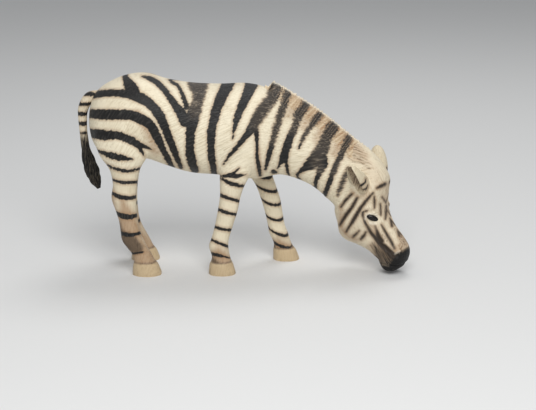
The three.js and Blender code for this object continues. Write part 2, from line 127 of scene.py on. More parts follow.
def tube(grid):
    """Vertices and faces of a closed tube: quads between neighbouring rings, and a fan at each end. Where the
    sum of the corners' triple products is negative, the faces look inwards and are turned round."""
    rings, sides = grid.shape[:2]
    index = np.arange(rings * sides).reshape(rings, sides)
    following = np.roll(index, -1, axis=1)
    quads = np.stack([index[:-1], following[:-1], following[1:], index[1:]], axis=-1).reshape(-1, 4)
    ends = np.array([grid[0].mean(axis=0), grid[-1].mean(axis=0)])
    first = np.column_stack([following[0], index[0], np.full(sides, rings * sides)])
    last = np.column_stack([index[-1], following[-1], np.full(sides, rings * sides + 1)])
    vertices = np.vstack([grid.reshape(-1, 3), ends])
    middle = vertices.mean(axis=0)
    corner = vertices[quads] - middle
    turned = np.einsum("ij,ij->", np.cross(corner[:, 0], corner[:, 1]), corner[:, 2]) < 0
    faces = quads.tolist() + first.tolist() + last.tolist()
    return vertices, [face[::-1] for face in faces] if turned else faces


print("a curve through heights 0, 1 and 0:", spline([(0,), (1,), (0,)], 2).ravel())

# %% [markdown]
# ## Trunk, neck, head and legs
# The outlines below follow the figure from rump to muzzle. The head has a frame of its own at the end of
# the neck, turned towards the viewer. A limb's sections lie level, one above another, from its sole into
# the trunk.

# %% Sections of the trunk and head
TRUNK_SIDES = 96
HEAD_SIDES = 72
TRUNK = [
    # x and z of the upper edge, x and z of the lower edge, half width
    (-73.2, 76.6, -73.6, 66.5, 5.5),
    (-71.2, 82.4, -72, 60.5, 11),
    (-66, 87.1, -68, 55.5, 16),
    (-57, 91.1, -59, 53, 18.4),
    (-47.5, 92.1, -48, 53, 19),
    (-38, 89.4, -38, 49.6, 19.4),
    (-27, 87.6, -27, 46.4, 20),
    (-14, 87, -14, 45.2, 19.8),
    (-2, 87.4, -3, 43.6, 18.6),
    (7, 85.6, 3.5, 43.2, 17),
    (14, 82, 8.5, 44.2, 15),
    (22.3, 76.6, 14, 45, 13),
    (31.1, 70.6, 20.6, 43.4, 11.6),
    (39.5, 63.8, 28.4, 39.8, 10.6),
    (47.5, 57.2, 36, 33.6, 10),
    (57, 50, 44, 26, 9.6),
]
HEAD = [
    # the same in the head's own frame, and the share of the height at which the section is widest
    (0.9, 17.6, -14.4, -9.6, 6, 0.5),
    (7.9, 14, -8, -14.2, 8.6, 0.5),
    (13.9, 8.5, -7.6, -17.6, 10, 0.52),
    (18, 1.9, -6.1, -22.6, 10.4, 0.56),
    (17.6, -4.4, -5.1, -27.4, 10.2, 0.6),
    (17.4, -11, -1.7, -30.3, 9.4, 0.64),
    (19.4, -17.3, 3.7, -31.6, 8.2, 0.6),
    (23.6, -23, 10, -34, 7.2, 0.54),
    (27.4, -28, 14.4, -37.4, 7.2, 0.55),
    (29.2, -32.2, 16.8, -40.6, 7, 0.5),
    (28.4, -36.8, 19.2, -42.2, 5.8, 0.5),
    (26.2, -40, 22.2, -42.4, 3.2, 0.5),
]
NECK_END = np.array([47.6, 0.0, 43.4])
NECK_DROP = math.radians(29)
HEAD_TURN = math.radians(28)
BEND_BEHIND = 6.0
BEND_SOFT = 3.0
neck_axis = np.array([math.cos(NECK_DROP), 0.0, -math.sin(NECK_DROP)])
head_axes = np.array(
    [
        [math.cos(HEAD_TURN), -math.sin(HEAD_TURN), 0.0],
        [math.sin(HEAD_TURN), math.cos(HEAD_TURN), 0.0],
        [0.0, 0.0, 1.0],
    ]
)


def from_head(points):
    """A head point in the figure's frame: the neck's end plus each number along its turned axis."""
    return NECK_END + points @ head_axes


def to_head(points):
    """The way back: offsets from the neck's end, measured along the head's axes."""
    return (points - NECK_END) @ head_axes.T


# Each row ends with its middle's y. The trunk is widest at half its height.
trunk_rows = np.array([(*row, 0.5, 0.0) for row in TRUNK])
trunk_grid = loft(trunk_rows, TRUNK_SIDES)
head_loft = loft(np.array([(*row, 0.0) for row in HEAD]), HEAD_SIDES)
head_grid = from_head(head_loft)
# The back of the head lies in the neck, so it mustn't swing out with the turn. The swing that is taken back
# grows from 0 in front of the bend to all of it behind: (hypot(ahead, soft) - ahead) / 2.
ahead = head_loft[..., 0] + BEND_BEHIND
head_grid[..., 1] -= math.sin(HEAD_TURN) * (np.hypot(ahead, BEND_SOFT) - ahead) / 2
print("trunk grid", trunk_grid.shape, "head grid", head_grid.shape)

# %% Sections of the limbs
FORE_STANCE = 11.5
HIND_STANCE = 12.0
LIMB_SIDES = 48
FORE_LIMB = [
    # height, half length, half width, x of the right limb, x of the left limb, lean towards the mid plane
    (0, 6.4, 5.4, -12.9, 17.3, 0),
    (4.6, 5.5, 4.8, -13.3, 16.4, 0),
    (6.2, 4.7, 4.2, -13.3, 15.9, 0),
    (8.6, 4.2, 3.8, -13.5, 15.2, 0),
    (13.3, 4.5, 4.1, -14.5, 13.4, 0),
    (17, 4.1, 3.7, -13.7, 12.4, 0),
    (23, 4.2, 3.7, -12, 11.2, 0),
    (30, 4.6, 4.3, -10.2, 9.6, 0),
    (37, 4.8, 4.3, -8.9, 7.2, 0),
    (43, 5.9, 4.9, -7.8, 4.4, 0),
    (52, 8.4, 6.2, -5.2, 2, 0.5),
    (62, 10.5, 8, -1, 1, 2),
    (75, 8, 5.5, 1.5, 1.5, 5),
]
HIND_LIMB = [
    # the same for the hind limbs
    (0, 7, 5.8, -47.8, -50.6, 0),
    (4.6, 5.9, 5, -48.4, -51.2, 0),
    (6.4, 4.9, 4.4, -48.9, -51.7, 0),
    (10, 4.5, 4, -50.3, -53, 0),
    (15.6, 5, 4.2, -53.8, -56.4, 0),
    (19.5, 4.6, 3.9, -55, -57.6, 0),
    (25, 4.4, 3.7, -55.8, -58.2, 0),
    (30, 4.8, 4, -56.7, -58.8, 0),
    (36.5, 5.7, 4.4, -57.7, -59.4, 0),
    (43, 5.6, 4.6, -57, -58.2, 0),
    (50, 7, 5.3, -57, -57.6, 0),
    (57, 11, 6.6, -57.4, -57.6, 0),
    (67, 13.5, 7.8, -57, -57, 1.6),
    (79, 9, 5.5, -56, -56, 5),
]


def limb_grid(rows, stance, left):
    """A limb's loft: at each height the section runs from the front edge to the back edge of that row."""
    z, half_length, half_width, right_x, left_x, lean = np.array(rows, float).T
    x = left_x if left else right_x
    y = (stance - lean) * (1 if left else -1)
    widest = np.full_like(z, 0.5)
    return loft(np.column_stack([x + half_length, z, x - half_length, z, half_width, widest, y]), LIMB_SIDES)


limb_grids = {
    "right_fore_leg": limb_grid(FORE_LIMB, FORE_STANCE, False),
    "left_fore_leg": limb_grid(FORE_LIMB, FORE_STANCE, True),
    "right_hind_leg": limb_grid(HIND_LIMB, HIND_STANCE, False),
    "left_hind_leg": limb_grid(HIND_LIMB, HIND_STANCE, True),
}
# The right fore hoof's corner, here and in the CAD model, gives the shift from one frame to the other.
_, sole_half_length, sole_half_width, sole_x = FORE_LIMB[0][:4]
sole_corner = np.array([sole_x - sole_half_length, -FORE_STANCE - sole_half_width, 0.0])
frame_shift = np.array(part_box("right_fore_leg")[0]) * 1000 - sole_corner
print("limbs:", sorted(limb_grids), "shift to the frame", frame_shift.round(2))

# %% [markdown]
# ## One skin
# On the real figure trunk, limbs and head run into each other like clay. Overlapping lofts would meet in
# hard creases, so they are fused first: a voxel remesh keeps only their common outside, and a few rounds of
# smoothing melt the creases. All work is in millimetres until the pieces move to the frame's metres.

# %% Fuse and smooth
VOXEL_MM = 0.55
SMOOTH_ROUNDS = 9
SMOOTH_FACTOR = 0.5


def new_mesh(name, vertices, faces):
    """A smooth-shaded mesh from an array of points and a list of faces."""
    mesh = bpy.data.meshes.new(name)
    mesh.from_pydata(vertices.tolist(), [], faces)
    mesh.polygons.foreach_set("use_smooth", np.ones(len(mesh.polygons), bool))
    return mesh


def points_of(mesh):
    """The places of a mesh's points, one row each."""
    flat = np.empty(3 * len(mesh.vertices))
    mesh.vertices.foreach_get("co", flat)
    return flat.reshape(-1, 3)


def normals_of(mesh):
    """The outward direction at each point of a mesh."""
    flat = np.empty(3 * len(mesh.vertices), np.float32)
    mesh.vertex_normals.foreach_get("vector", flat)
    return flat.reshape(-1, 3)


def fused(name, grids):
    """The common outside of overlapping tubes, as one smooth mesh."""
    vertices, faces, count = [], [], 0
    for grid in grids:
        tube_vertices, tube_faces = tube(grid)
        vertices.append(tube_vertices)
        faces += [[corner + count for corner in face] for face in tube_faces]
        count += len(tube_vertices)
    rough = bpy.data.objects.new(name, new_mesh(name, np.vstack(vertices), faces))
    bpy.context.collection.objects.link(rough)
    remesh = rough.modifiers.new("voxels", "REMESH")
    remesh.mode = "VOXEL"
    remesh.voxel_size = VOXEL_MM
    smooth = rough.modifiers.new("melt", "SMOOTH")
    smooth.factor = SMOOTH_FACTOR
    smooth.iterations = SMOOTH_ROUNDS
    shaped = rough.evaluated_get(bpy.context.evaluated_depsgraph_get())
    mesh = bpy.data.meshes.new_from_object(shaped)
    bpy.data.objects.remove(rough)
    return mesh


skin = fused("skin", [trunk_grid, head_grid, *limb_grids.values()])
print("skin:", len(skin.vertices), "points")

# %% [markdown]
# ## Sculpting
# Loft and remesh leave the figure smooth as soap. A modeller would now push and pull: sockets and brows
# round the eyes, the crest of the cheek, nostrils, the line of the mouth. Each push is a rounded rise or
# dip along the surface's own normal, worked out for all points at once, on both sides of the figure.
# Creases round the eye and grooves between locks of hair are narrower, so they are drawn as strokes in the
# side view. The stripes are painted with the same tool later.

# %% Strokes in the side view
STROKE_STEPS = 6
STROKE_REACH = 10.0
FAR_OUTSIDE = -12.0


def to_pieces(points, line):
    """For each point and each straight piece of a line: where on the piece the nearest place is, 0 to 1,
    which is offset times piece over piece squared, and the distance to that place."""
    start, step = line[:-1], np.diff(line, axis=0)
    offset = points[:, None, :] - start
    along = np.clip((offset * step).sum(-1) / (step**2).sum(-1), 0, 1)
    return along, np.linalg.norm(offset - along[..., None] * step, axis=-1)


def stroke_depth(spots, strokes):
    """Half the brush's width less the distance to its line, at the piece of the line where that is most."""
    depth = np.full(len(spots), FAR_OUTSIDE)
    for stroke in strokes:
        path = spline(stroke, STROKE_STEPS)
        line, brush = path[:, :2], path[:, 2] / 2
        reach = brush.max() + STROKE_REACH
        near = ((spots > line.min(axis=0) - reach) & (spots < line.max(axis=0) + reach)).all(axis=1)
        along, away = to_pieces(spots[near], line)
        inside = (brush[:-1] + along * np.diff(brush) - away).max(axis=1)
        depth[near] = np.maximum(depth[near], inside)
    return depth


def soft(depth, blur):
    """From 0 outside to 1 inside, over a blur on each side of the edge: 3 s^2 - 2 s^3 of the share s."""
    share = np.clip((depth + blur) / (2 * blur), 0, 1)
    return share * share * (3 - 2 * share)


def cover(spots, strokes, blur):
    """How much strokes with a soft edge cover each place of the side view, from 0 to 1."""
    return soft(stroke_depth(spots, strokes), blur)


def right_side(points):
    """Points of either side, moved to the figure's right side."""
    return np.column_stack([points[:, 0], -np.abs(points[:, 1]), points[:, 2]])


def head_spots(points):
    """Places in the side view of points of the head, its left half mirrored to the right."""
    return picture(from_head(right_side(to_head(points))))


print("a stroke's depth on its line:", stroke_depth(np.array([[5.0, 0.0]]), [[(0, 0, 4), (10, 0, 4)]]))

# %% Rises, grooves and ridges
EYE = np.array([14.3, 8.2, -16.0])
BODY_RISES = [
    # centre on the left side of the figure, size along each axis, height
    ((-39, 19, 60), (7, 9, 9), -1.3),
    ((-58, 18, 73), (11, 8, 12), 0.7),
    ((-47, 17, 57), (5, 7, 6), 0.7),
    ((-64, 14, 60), (3, 8, 7), -0.6),
    ((-1, 16, 70), (7, 8, 12), 0.8),
    ((-14, 18, 58), (4, 8, 8), -0.8),
    ((7, 13, 57), (5, 6, 6), 0.7),
    ((16, 11, 55), (3, 6, 9), -0.6),
    ((26, 9, 52), (12, 6, 3), -0.5),
    ((-18, 12, 50), (3, 8, 3), -0.5),
]
FACE_RISES = [
    # centre on the left side of the head, in its frame, size along each axis, height
    ((15.8, 7.9, -13.3), (3.2, 3.0, 1.5), 0.7),
    ((14.3, 8.4, -16.0), (2.9, 3.0, 1.6), -0.6),
    ((13.2, 8.6, -18.8), (3.4, 3.0, 1.3), 0.4),
    ((17.5, 7.6, -23.0), (2.0, 3.0, 3.4), 0.55),
    ((14.0, 7.5, -26.0), (2.2, 3.0, 3.0), -0.5),
    ((21.5, 5.4, -22.5), (2.0, 3.0, 4.0), -0.4),
    ((2.0, 9.0, -20.0), (5.0, 4.0, 5.5), 0.6),
    ((25.6, 5.6, -31.8), (2.4, 2.4, 2.6), 0.6),
    ((26.0, 6.0, -32.6), (0.9, 2.0, 1.4), -1.5),
    ((20.5, 5.5, -40.5), (3.5, 4.0, 1.6), 0.5),
]
MOUTH = [(13.6, -36.4), (17.0, -37.6), (22.0, -38.4), (28.5, -38.2)]
MOUTH_DEPTH = 0.6
MOUTH_SIZE = 0.55
LIPS_ABOVE = 4.0
# Column and row in the 536 by 410 picture, and the tool's full width, in pixels.
FACE_GROOVES = [
    [(364.5, 221, 2), (367.5, 226.7, 2.4), (370.8, 232.5, 3), (379, 242.5, 3), (388, 251, 3)],
    [(381.7, 225, 2), (385, 231, 2.4), (388.5, 237, 2.6), (392.5, 244.5, 2)],
    [(367, 211.5, 1.6), (373, 211.5, 1.8), (379, 214, 1.6)],
    [(374.5, 197, 1.6), (374.6, 208, 1.6)],
    [(380.4, 204, 1.4), (380.8, 215, 1.4)],
    [(385.8, 209, 1.6), (386.3, 219, 1.6)],
    [(358, 198, 2), (351, 209, 3), (341, 223, 2.4)],
    [(371, 196, 2), (362.5, 205, 2.6), (353, 219, 3), (347, 231, 2)],
]
FACE_RIDGES = [
    [(377, 224, 3), (383, 235, 4.5), (389, 246, 4.5), (393, 251, 3)],
    [(366, 208.5, 2.4), (372, 207.5, 3), (379, 209.5, 2.4)],
]
LOCK_GROOVES = [
    [(347, 137, 1.6), (356, 143, 2), (364, 150, 1.2)],
    [(345, 142, 2), (355, 147.5, 2.6), (366, 157, 1.4)],
    [(344, 148, 2), (354, 152.5, 2.8), (367, 161, 1.4)],
    [(348, 155.5, 2), (357, 157.5, 2.6), (369, 165, 1.4)],
    [(352, 162, 1.6), (360, 163, 2), (370, 169, 1.2)],
]
print("rises:", len(BODY_RISES), "on the body,", len(FACE_RISES), "on the face")

# %% Push and pull
NECK_FROM_X = 30.0
GROOVE_MM = 0.4
GROOVE_BLUR = 1.5
RIDGE_MM = 0.45
RIDGE_BLUR = 2.0
SOLE_FLAT = 0.5


def left_side(points):
    """Points of either side, moved to the left side."""
    return right_side(points) * np.array([1, -1, 1])


def past_neck(points):
    """How far points lie past the end of the neck, measured along it."""
    return (points - NECK_END) @ neck_axis


def swell(points, centre, size, height):
    """Height times e to the minus sum of squared offsets, each over its own size."""
    return height * np.exp(-(((points - np.array(centre)) / np.array(size)) ** 2).sum(axis=1))


def face_height(local):
    """The face's rises, less the mouth: its depth times e to the minus squared gap, over its size squared."""
    height = sum(swell(local, *rise) for rise in FACE_RISES)
    gap = to_pieces(local[:, [0, 2]], spline(MOUTH, STROKE_STEPS))[1].min(axis=1)
    on_lips = local[:, 2] < MOUTH[0][1] + LIPS_ABOVE
    return height - np.where(on_lips, MOUTH_DEPTH * np.exp(-((gap / MOUTH_SIZE) ** 2)), 0)


def sculpt(points, normals):
    """Points moved along their normals by the sum of all rises, ridges and grooves."""
    height = sum(swell(left_side(points), *rise) for rise in BODY_RISES)
    height += face_height(left_side(to_head(points)))
    spots = head_spots(points)
    carved = RIDGE_MM * cover(spots, FACE_RIDGES, RIDGE_BLUR)
    carved -= GROOVE_MM * cover(spots, FACE_GROOVES, GROOVE_BLUR)
    height += np.where(past_neck(points) > 0, carved, 0)
    locks = cover(picture(right_side(points)), LOCK_GROOVES, GROOVE_BLUR)
    height -= np.where(points[:, 0] > NECK_FROM_X, GROOVE_MM * locks, 0)
    return points + normals * height[:, None]


skin_points = sculpt(points_of(skin), normals_of(skin))
skin_points[skin_points[:, 2] < SOLE_FLAT, 2] = 0
skin.vertices.foreach_set("co", skin_points.ravel())
skin.update()
print("height of the skin:", skin_points[:, 2].max().round(2))

# %% [markdown]
# ## Mouldings
# The figure is glued up from mouldings, so the skin is sawn where the CAD model has its seams: the head at
# the end of the neck, the legs below the trunk, and the trunk along the mid plane. Every cut is closed with
# a flat face. Skins made one by one would need fitting at each seam, but the sides of a cut fit by nature.

# %% Saw the skin
FORE_SEAM = 42.5
HIND_SEAM = 50.0
HIND_FROM_X = -44.0
BETWEEN_LEGS_X = -34.0
LEG_TO_X = 20.0
LOW_Z = 20.0
SEAM_MARGIN = 1.0
CUT_SNAP = 1e-5


def in_neck(x, z):
    """The part of the skin that the cut behind the head may saw."""
    return x > NECK_FROM_X


def in_fore_legs(x, z):
    """The part that the cut above the fore legs may saw, short of the throat."""
    low = (z < FORE_SEAM + SEAM_MARGIN) & ((x < LEG_TO_X) | (z < LOW_Z))
    return low & (x > BETWEEN_LEGS_X) & (x < NECK_FROM_X)


def in_hind_legs(x, z):
    """The part that the cut above the hind legs may saw."""
    return (z < HIND_SEAM + SEAM_MARGIN) & ((x < HIND_FROM_X) | ((x < BETWEEN_LEGS_X) & (z < LOW_Z)))


def everywhere(x, z):
    """All of the skin, for the cut along the mid plane."""
    return True


def saw(solid, point, normal, inside):
    """Cuts the faces whose middle lies inside a region along a plane, and leaves both halves in place."""
    faces = [f for f in solid.faces if inside(f.calc_center_median().x, f.calc_center_median().z)]
    edges = list(dict.fromkeys(e for f in faces for e in f.edges))
    corners = list(dict.fromkeys(v for f in faces for v in f.verts))
    bmesh.ops.bisect_plane(
        solid, geom=faces + edges + corners, plane_co=point.tolist(), plane_no=normal.tolist(), dist=CUT_SNAP
    )


def kept(solid, wanted):
    """A copy of the faces that are wanted, by their number, with its cuts closed by flat faces."""
    copy = solid.copy()
    copy.faces.ensure_lookup_table()
    doomed = [face for face, keep in zip(copy.faces, wanted) if not keep]
    bmesh.ops.delete(copy, geom=doomed, context="FACES")
    rim = [edge for edge in copy.edges if edge.is_boundary]
    caps = bmesh.ops.holes_fill(copy, edges=rim)["faces"]
    for cap in caps:
        cap.smooth = False
    bmesh.ops.triangulate(copy, faces=caps)
    bmesh.ops.recalc_face_normals(copy, faces=copy.faces)
    return copy


def middles(solid):
    """The middle of each face, one row each."""
    return np.array([face.calc_center_median() for face in solid.faces])


y_axis = np.array([0.0, 1.0, 0.0])
z_axis = np.array([0.0, 0.0, 1.0])
solid = bmesh.new()
solid.from_mesh(skin)
saw(solid, NECK_END, neck_axis, in_neck)
saw(solid, z_axis * FORE_SEAM, z_axis, in_fore_legs)
saw(solid, z_axis * HIND_SEAM, z_axis, in_hind_legs)
middle = middles(solid)
x, y, z = middle.T
is_head = in_neck(x, z) & (past_neck(middle) > 0)
is_fore = in_fore_legs(x, z) & (z < FORE_SEAM)
is_hind = in_hind_legs(x, z) & (z < HIND_SEAM)
parts = {
    "head": kept(solid, is_head),
    "right_fore_leg": kept(solid, is_fore & (y < 0)),
    "left_fore_leg": kept(solid, is_fore & (y > 0)),
    "right_hind_leg": kept(solid, is_hind & (y < 0)),
    "left_hind_leg": kept(solid, is_hind & (y > 0)),
}
trunk = kept(solid, ~(is_head | is_fore | is_hind))
saw(trunk, np.zeros(3), y_axis, everywhere)
parts["right_trunk_shell"] = kept(trunk, middles(trunk)[:, 1] < 0)
parts["left_trunk_shell"] = kept(trunk, middles(trunk)[:, 1] > 0)
meshes = {}
for name, part in parts.items():
    meshes[name] = bpy.data.meshes.new(f"{name}_skin")
    part.to_mesh(meshes[name])
    open_edges = sum(edge.is_boundary for edge in part.edges)
    print(name, len(part.faces), "faces,", open_edges, "open edges")

# %% [markdown]
# ## Mane
# The mane stands along the crest as a moulding of its own. It is one closed surface, a section carried
# along the neck. Its hair is modelled, not only painted, because it breaks the outline: the section swells
# and shrinks in ridges that lean forward as they rise.

# %% Mane
MANE_FROM_ROW = 9
MANE_RISE = 4.6
MANE_SUNK = 2.2
MANE_HALF_WIDTH = 7.5
MANE_FOOT = 0.4
MANE_RINGS_PER_ROW = 60
MANE_SIDES = 72
BELL_POWERS = (1.4, 1.5)
# At its start the rise grows over a short way and the foot over a longer one. At its end the rise dives.
RISE_FROM = 1.5
RISE_OVER = 2.5
RISE_LEAST = 0.1
RISE_POWER = 0.6
FOOT_AT_START = 0.35
FOOT_OVER = 8.0
MANE_DIVE = 3.5
DIVE_OVER = 4.0
# Ridges of hair of a few pitches, which lean and sway, and tips of uneven height.
LOCK_PITCHES = (2.1, 1.5, 1.15)
LOCK_RELIEF = 0.15
LOCK_LEAN = 0.58
LOCK_SWAY = 0.5
SWAY_PITCH = 9.1
LOCK_CONTRAST = 0.4
TIP_PITCHES = (2.9, 1.7)
TIP_RELIEF = 0.1
mane_angle = once_round(MANE_SIDES)
mane_bell = (1 - np.abs(np.sin(mane_angle)) ** BELL_POWERS[0]) ** BELL_POWERS[1]
mane_bell = np.where(np.cos(mane_angle) > 0, mane_bell, 0)


def mane_grid():
    """A bell over the neck's own section. Across the crest, the neck falls away by half its height times
    1 - (1 - |y / half width|^power)^(1 / power). On that stands the rise times (1 - |s|^1.4)^1.5, with s
    from -1 to 1 across the mane, so its foot runs out into the neck. Its underside is sunk below. Cosines
    of the distance along the crest, less a lean times 1 - |s|, make ridges of hair. How far a point lies
    down between them, 0 to 1, is given back too."""
    rows = spline(trunk_rows[MANE_FROM_ROW:], MANE_RINGS_PER_ROW)
    crest, below, neck_half = rows[:, 0:2], rows[:, 2:4], rows[:, 4:5]
    tall = np.linalg.norm(crest - below, axis=1, keepdims=True)
    rise = (crest - below) / tall
    along = np.concatenate([[0], np.cumsum(np.linalg.norm(np.diff(crest, axis=0), axis=1))])[:, None]
    tips = sum(np.sin(2 * np.pi * along / pitch + shift) for shift, pitch in enumerate(TIP_PITCHES))
    into_head = np.clip((crest - NECK_END[[0, 2]]) @ neck_axis[[0, 2]] / DIVE_OVER, 0, 1)[:, None]
    height = MANE_RISE * np.clip((along - RISE_FROM) / RISE_OVER, RISE_LEAST, 1) ** RISE_POWER
    height += TIP_RELIEF * tips / 2 - MANE_DIVE * into_head
    side = np.sin(mane_angle)
    across = MANE_HALF_WIDTH * np.clip(FOOT_AT_START + along / FOOT_OVER, 0, 1) * side
    fall = tall / 2 * (1 - (1 - np.abs(across / neck_half) ** SECTION_POWER) ** (1 / SECTION_POWER))
    leaned = along - LOCK_LEAN * MANE_HALF_WIDTH * (1 - np.abs(side))
    leaned += LOCK_SWAY * np.sin(2 * np.pi * along / SWAY_PITCH)
    ridge = sum(np.cos(2 * np.pi * leaned / pitch) for pitch in LOCK_PITCHES)
    under = MANE_SUNK * np.clip(-np.cos(mane_angle), 0, 1)
    reach = (height + MANE_FOOT + LOCK_RELIEF * ridge) * mane_bell - MANE_FOOT - fall - under
    flat = crest[:, None, :] + rise[:, None, :] * reach[:, :, None]
    between = np.clip(0.5 - LOCK_CONTRAST * ridge, 0, 1)
    return np.dstack([flat[:, :, 0], across, flat[:, :, 1]]), between


mane_surface, mane_between = mane_grid()
mane_vertices, mane_faces = tube(mane_surface)
meshes["mane"] = new_mesh("mane_hair", mane_vertices, mane_faces)
print("mane:", len(mane_faces), "faces, up to", mane_vertices[:, 2].max().round(1), "mm")

# %% [markdown]
# ## Ears
# The ears are cupped leaves with a thin wall, each set at its own angle. A sheet could be bent into a cup
# and thickened. Here one closed tube does it: a ring runs round the back of the leaf and returns inside the
# cup. The base is filled and the cup grows hollow above it, so that the head's skin never shows inside.

# %% Ears
EAR_LENGTH = 15.0
EARS = {
    # side, base, where the ear points, where it opens: the near ear droops outwards, the far one stands up
    "right_ear": (-1, (10.2, 8.6, -1.0), (-2.0, 10.2, 10.8), (-0.55, 0.85, -0.55)),
    "left_ear": (1, (9.8, 9.7, -1.0), (-3.4, 3.9, 14.8), (-0.5, 1.0, -0.2)),
}
EAR_PROFILE = [
    # share of the length, half width, depth of the cup, how hollow the cup is
    (-0.12, 2.4, 4.0, 0),
    (0.0, 3.2, 5.2, 0),
    (0.14, 3.9, 6.2, 0.4),
    (0.28, 4.3, 6.4, 0.85),
    (0.45, 4.3, 5.8, 1),
    (0.65, 3.9, 4.6, 1),
    (0.84, 3.0, 3.2, 1),
    (0.95, 1.9, 2.0, 1),
    (1.0, 0.7, 1.0, 1),
]
EAR_WALL = 1.0
WALL_TO_DEPTH = 0.7
EAR_BOW = 0.85
EAR_FILL = 0.25
EAR_LIP = 0.3
EAR_PINCH = 0.14
EAR_SIDES = 64
EAR_RINGS_PER_ROW = 7


def ear_grid(side, base, points, opens):
    """A cup-shaped leaf. The back of a section is half an ellipse, depth times the sine of the angle. Its
    inner side follows that curve less the wall where the cup is hollow, and bulges where it is filled."""
    mirror = np.array([1, side, 1])
    along = points * mirror / np.linalg.norm(points)
    across = np.cross(along, opens * mirror)
    across /= np.linalg.norm(across)
    front = np.cross(across, along)
    share, half, depth, hollow = spline(EAR_PROFILE, EAR_RINGS_PER_ROW).T[:, :, None]
    angle = once_round(EAR_SIDES)
    bow = np.abs(np.sin(angle)) ** EAR_BOW
    wall = np.minimum(EAR_WALL, depth * WALL_TO_DEPTH)
    inner = np.sin(angle) > 0
    cup = (depth - wall) * bow * hollow - EAR_FILL * depth * bow * (1 - hollow) - EAR_LIP * wall
    behind = np.where(inner, cup, depth * bow)
    spread = half * np.cos(angle) * np.where(inner, 1 - EAR_PINCH * bow, 1)
    middle = base * mirror + share[..., None] * EAR_LENGTH * along
    return middle + spread[..., None] * across - (behind - depth / 2)[..., None] * front


for name, shape in EARS.items():
    ear_vertices, ear_faces = tube(from_head(ear_grid(*shape)))
    meshes[name] = new_mesh(f"{name}_leaf", ear_vertices, ear_faces)
    print(name, len(ear_faces), "faces")

# %% [markdown]
# ## Tail
# A slim dock runs down into a tuft of strands. Single hairs would be too fine for a moulding, so rings are
# carried along a bent path, and where there is hair their radius rises and falls with the angle.

# %% Tail
TAIL = [
    # x, z, radius, share of hair ridges
    (-68, 81.8, 2.6, 0),
    (-73.5, 80.8, 2.6, 0),
    (-76.6, 75.6, 2.3, 0.1),
    (-77, 68, 1.8, 0.2),
    (-76.2, 58, 1.8, 0.5),
    (-74.6, 50, 2.7, 1),
    (-72.4, 43, 2.5, 1),
    (-70.6, 38, 0.8, 1),
]
TAIL_SIDES = 64
TAIL_RINGS_PER_ROW = 24
TAIL_STRANDS = 13
SIDE_STRANDS = 9
SIDE_STRAND_SHARE = 0.6
STRAND_RELIEF = 0.16
STRAND_TWIST = 0.35


def tail_grid():
    """Rings round the tail's path. Their radius swells by two cosines of the angle, so strands run down the
    tail, and the strands twist slowly with the length, one set each way."""
    x, z, radius, hair = spline(TAIL, TAIL_RINGS_PER_ROW).T
    tangent = np.gradient(np.column_stack([x, z]), axis=0)
    tangent /= np.linalg.norm(tangent, axis=1, keepdims=True)
    out = np.column_stack([-tangent[:, 1], tangent[:, 0]])
    angle = once_round(TAIL_SIDES)
    twist = STRAND_TWIST * np.linspace(0, 2 * np.pi, len(x))[:, None]
    ridge = np.cos(TAIL_STRANDS * (angle + twist))
    ridge += SIDE_STRAND_SHARE * np.cos(SIDE_STRANDS * (angle - twist) + 1)
    swollen = radius[:, None] * (1 + STRAND_RELIEF * hair[:, None] * ridge)
    flat = np.column_stack([x, z])[:, None, :] + (swollen * np.cos(angle))[..., None] * out[:, None, :]
    return np.dstack([flat[:, :, 0], swollen * np.sin(angle), flat[:, :, 1]])


tail_vertices, tail_faces = tube(tail_grid())
meshes["tail"] = new_mesh("tail_hair", tail_vertices, tail_faces)
print("tail:", len(tail_faces), "faces, from", tail_vertices[:, 2].min().round(1), "mm up")

# %% [markdown]
# ## Eyes
# Gloss black beads lie under the brows, longer than they are tall. A ball stretched along three axes is
# enough, as only its cap stands out of the face. Each is a piece of its own, with a finish of its own.

# %% Eyes
EYE_LONG = np.array([0.8, -0.48, -0.36])
EYE_OUT = np.array([0.5, 0.85, 0.1])
EYE_RADII = (2.8, 1.3, 0.9)
EYE_RINGS = 24
POLE_GAP = 0.02


def eye_grid(side):
    """An ellipsoid: each radius times the direction on a unit ball, from pole to pole along the eye."""
    mirror = np.array([1, side, 1])
    long = EYE_LONG / np.linalg.norm(EYE_LONG)
    out = EYE_OUT - (EYE_OUT @ long) * long
    out /= np.linalg.norm(out)
    tall = np.cross(long, out)
    polar = np.linspace(POLE_GAP, np.pi - POLE_GAP, EYE_RINGS)[:, None]
    angle = once_round(2 * EYE_RINGS)
    a = EYE_RADII[0] * np.cos(polar)
    b = EYE_RADII[1] * np.sin(polar) * np.cos(angle)
    c = EYE_RADII[2] * np.sin(polar) * np.sin(angle)
    return from_head((EYE + a[..., None] * long + b[..., None] * tall + c[..., None] * out) * mirror)


for name, side in (("right_eye", -1), ("left_eye", 1)):
    eye_vertices, eye_faces = tube(eye_grid(side))
    meshes[name] = new_mesh(f"{name}_bead", eye_vertices, eye_faces)
    print(name, len(eye_faces), "faces")

# %% [markdown]
# ## Brush strokes
# The stripes are hand painted. Each is a brush stroke: a smooth line through a few points of the side view,
# with the brush's width at each. A point of the skin that the view shows inside a stroke is inked. What is
# kept per point is not a colour but a depth, half the brush less the distance to the stroke's line, so the
# edge stays sharp between points, and the material can fray it along the hair. An image could be projected
# instead, but would blur at the edges and smear round the sides. The left side mirrors the right.

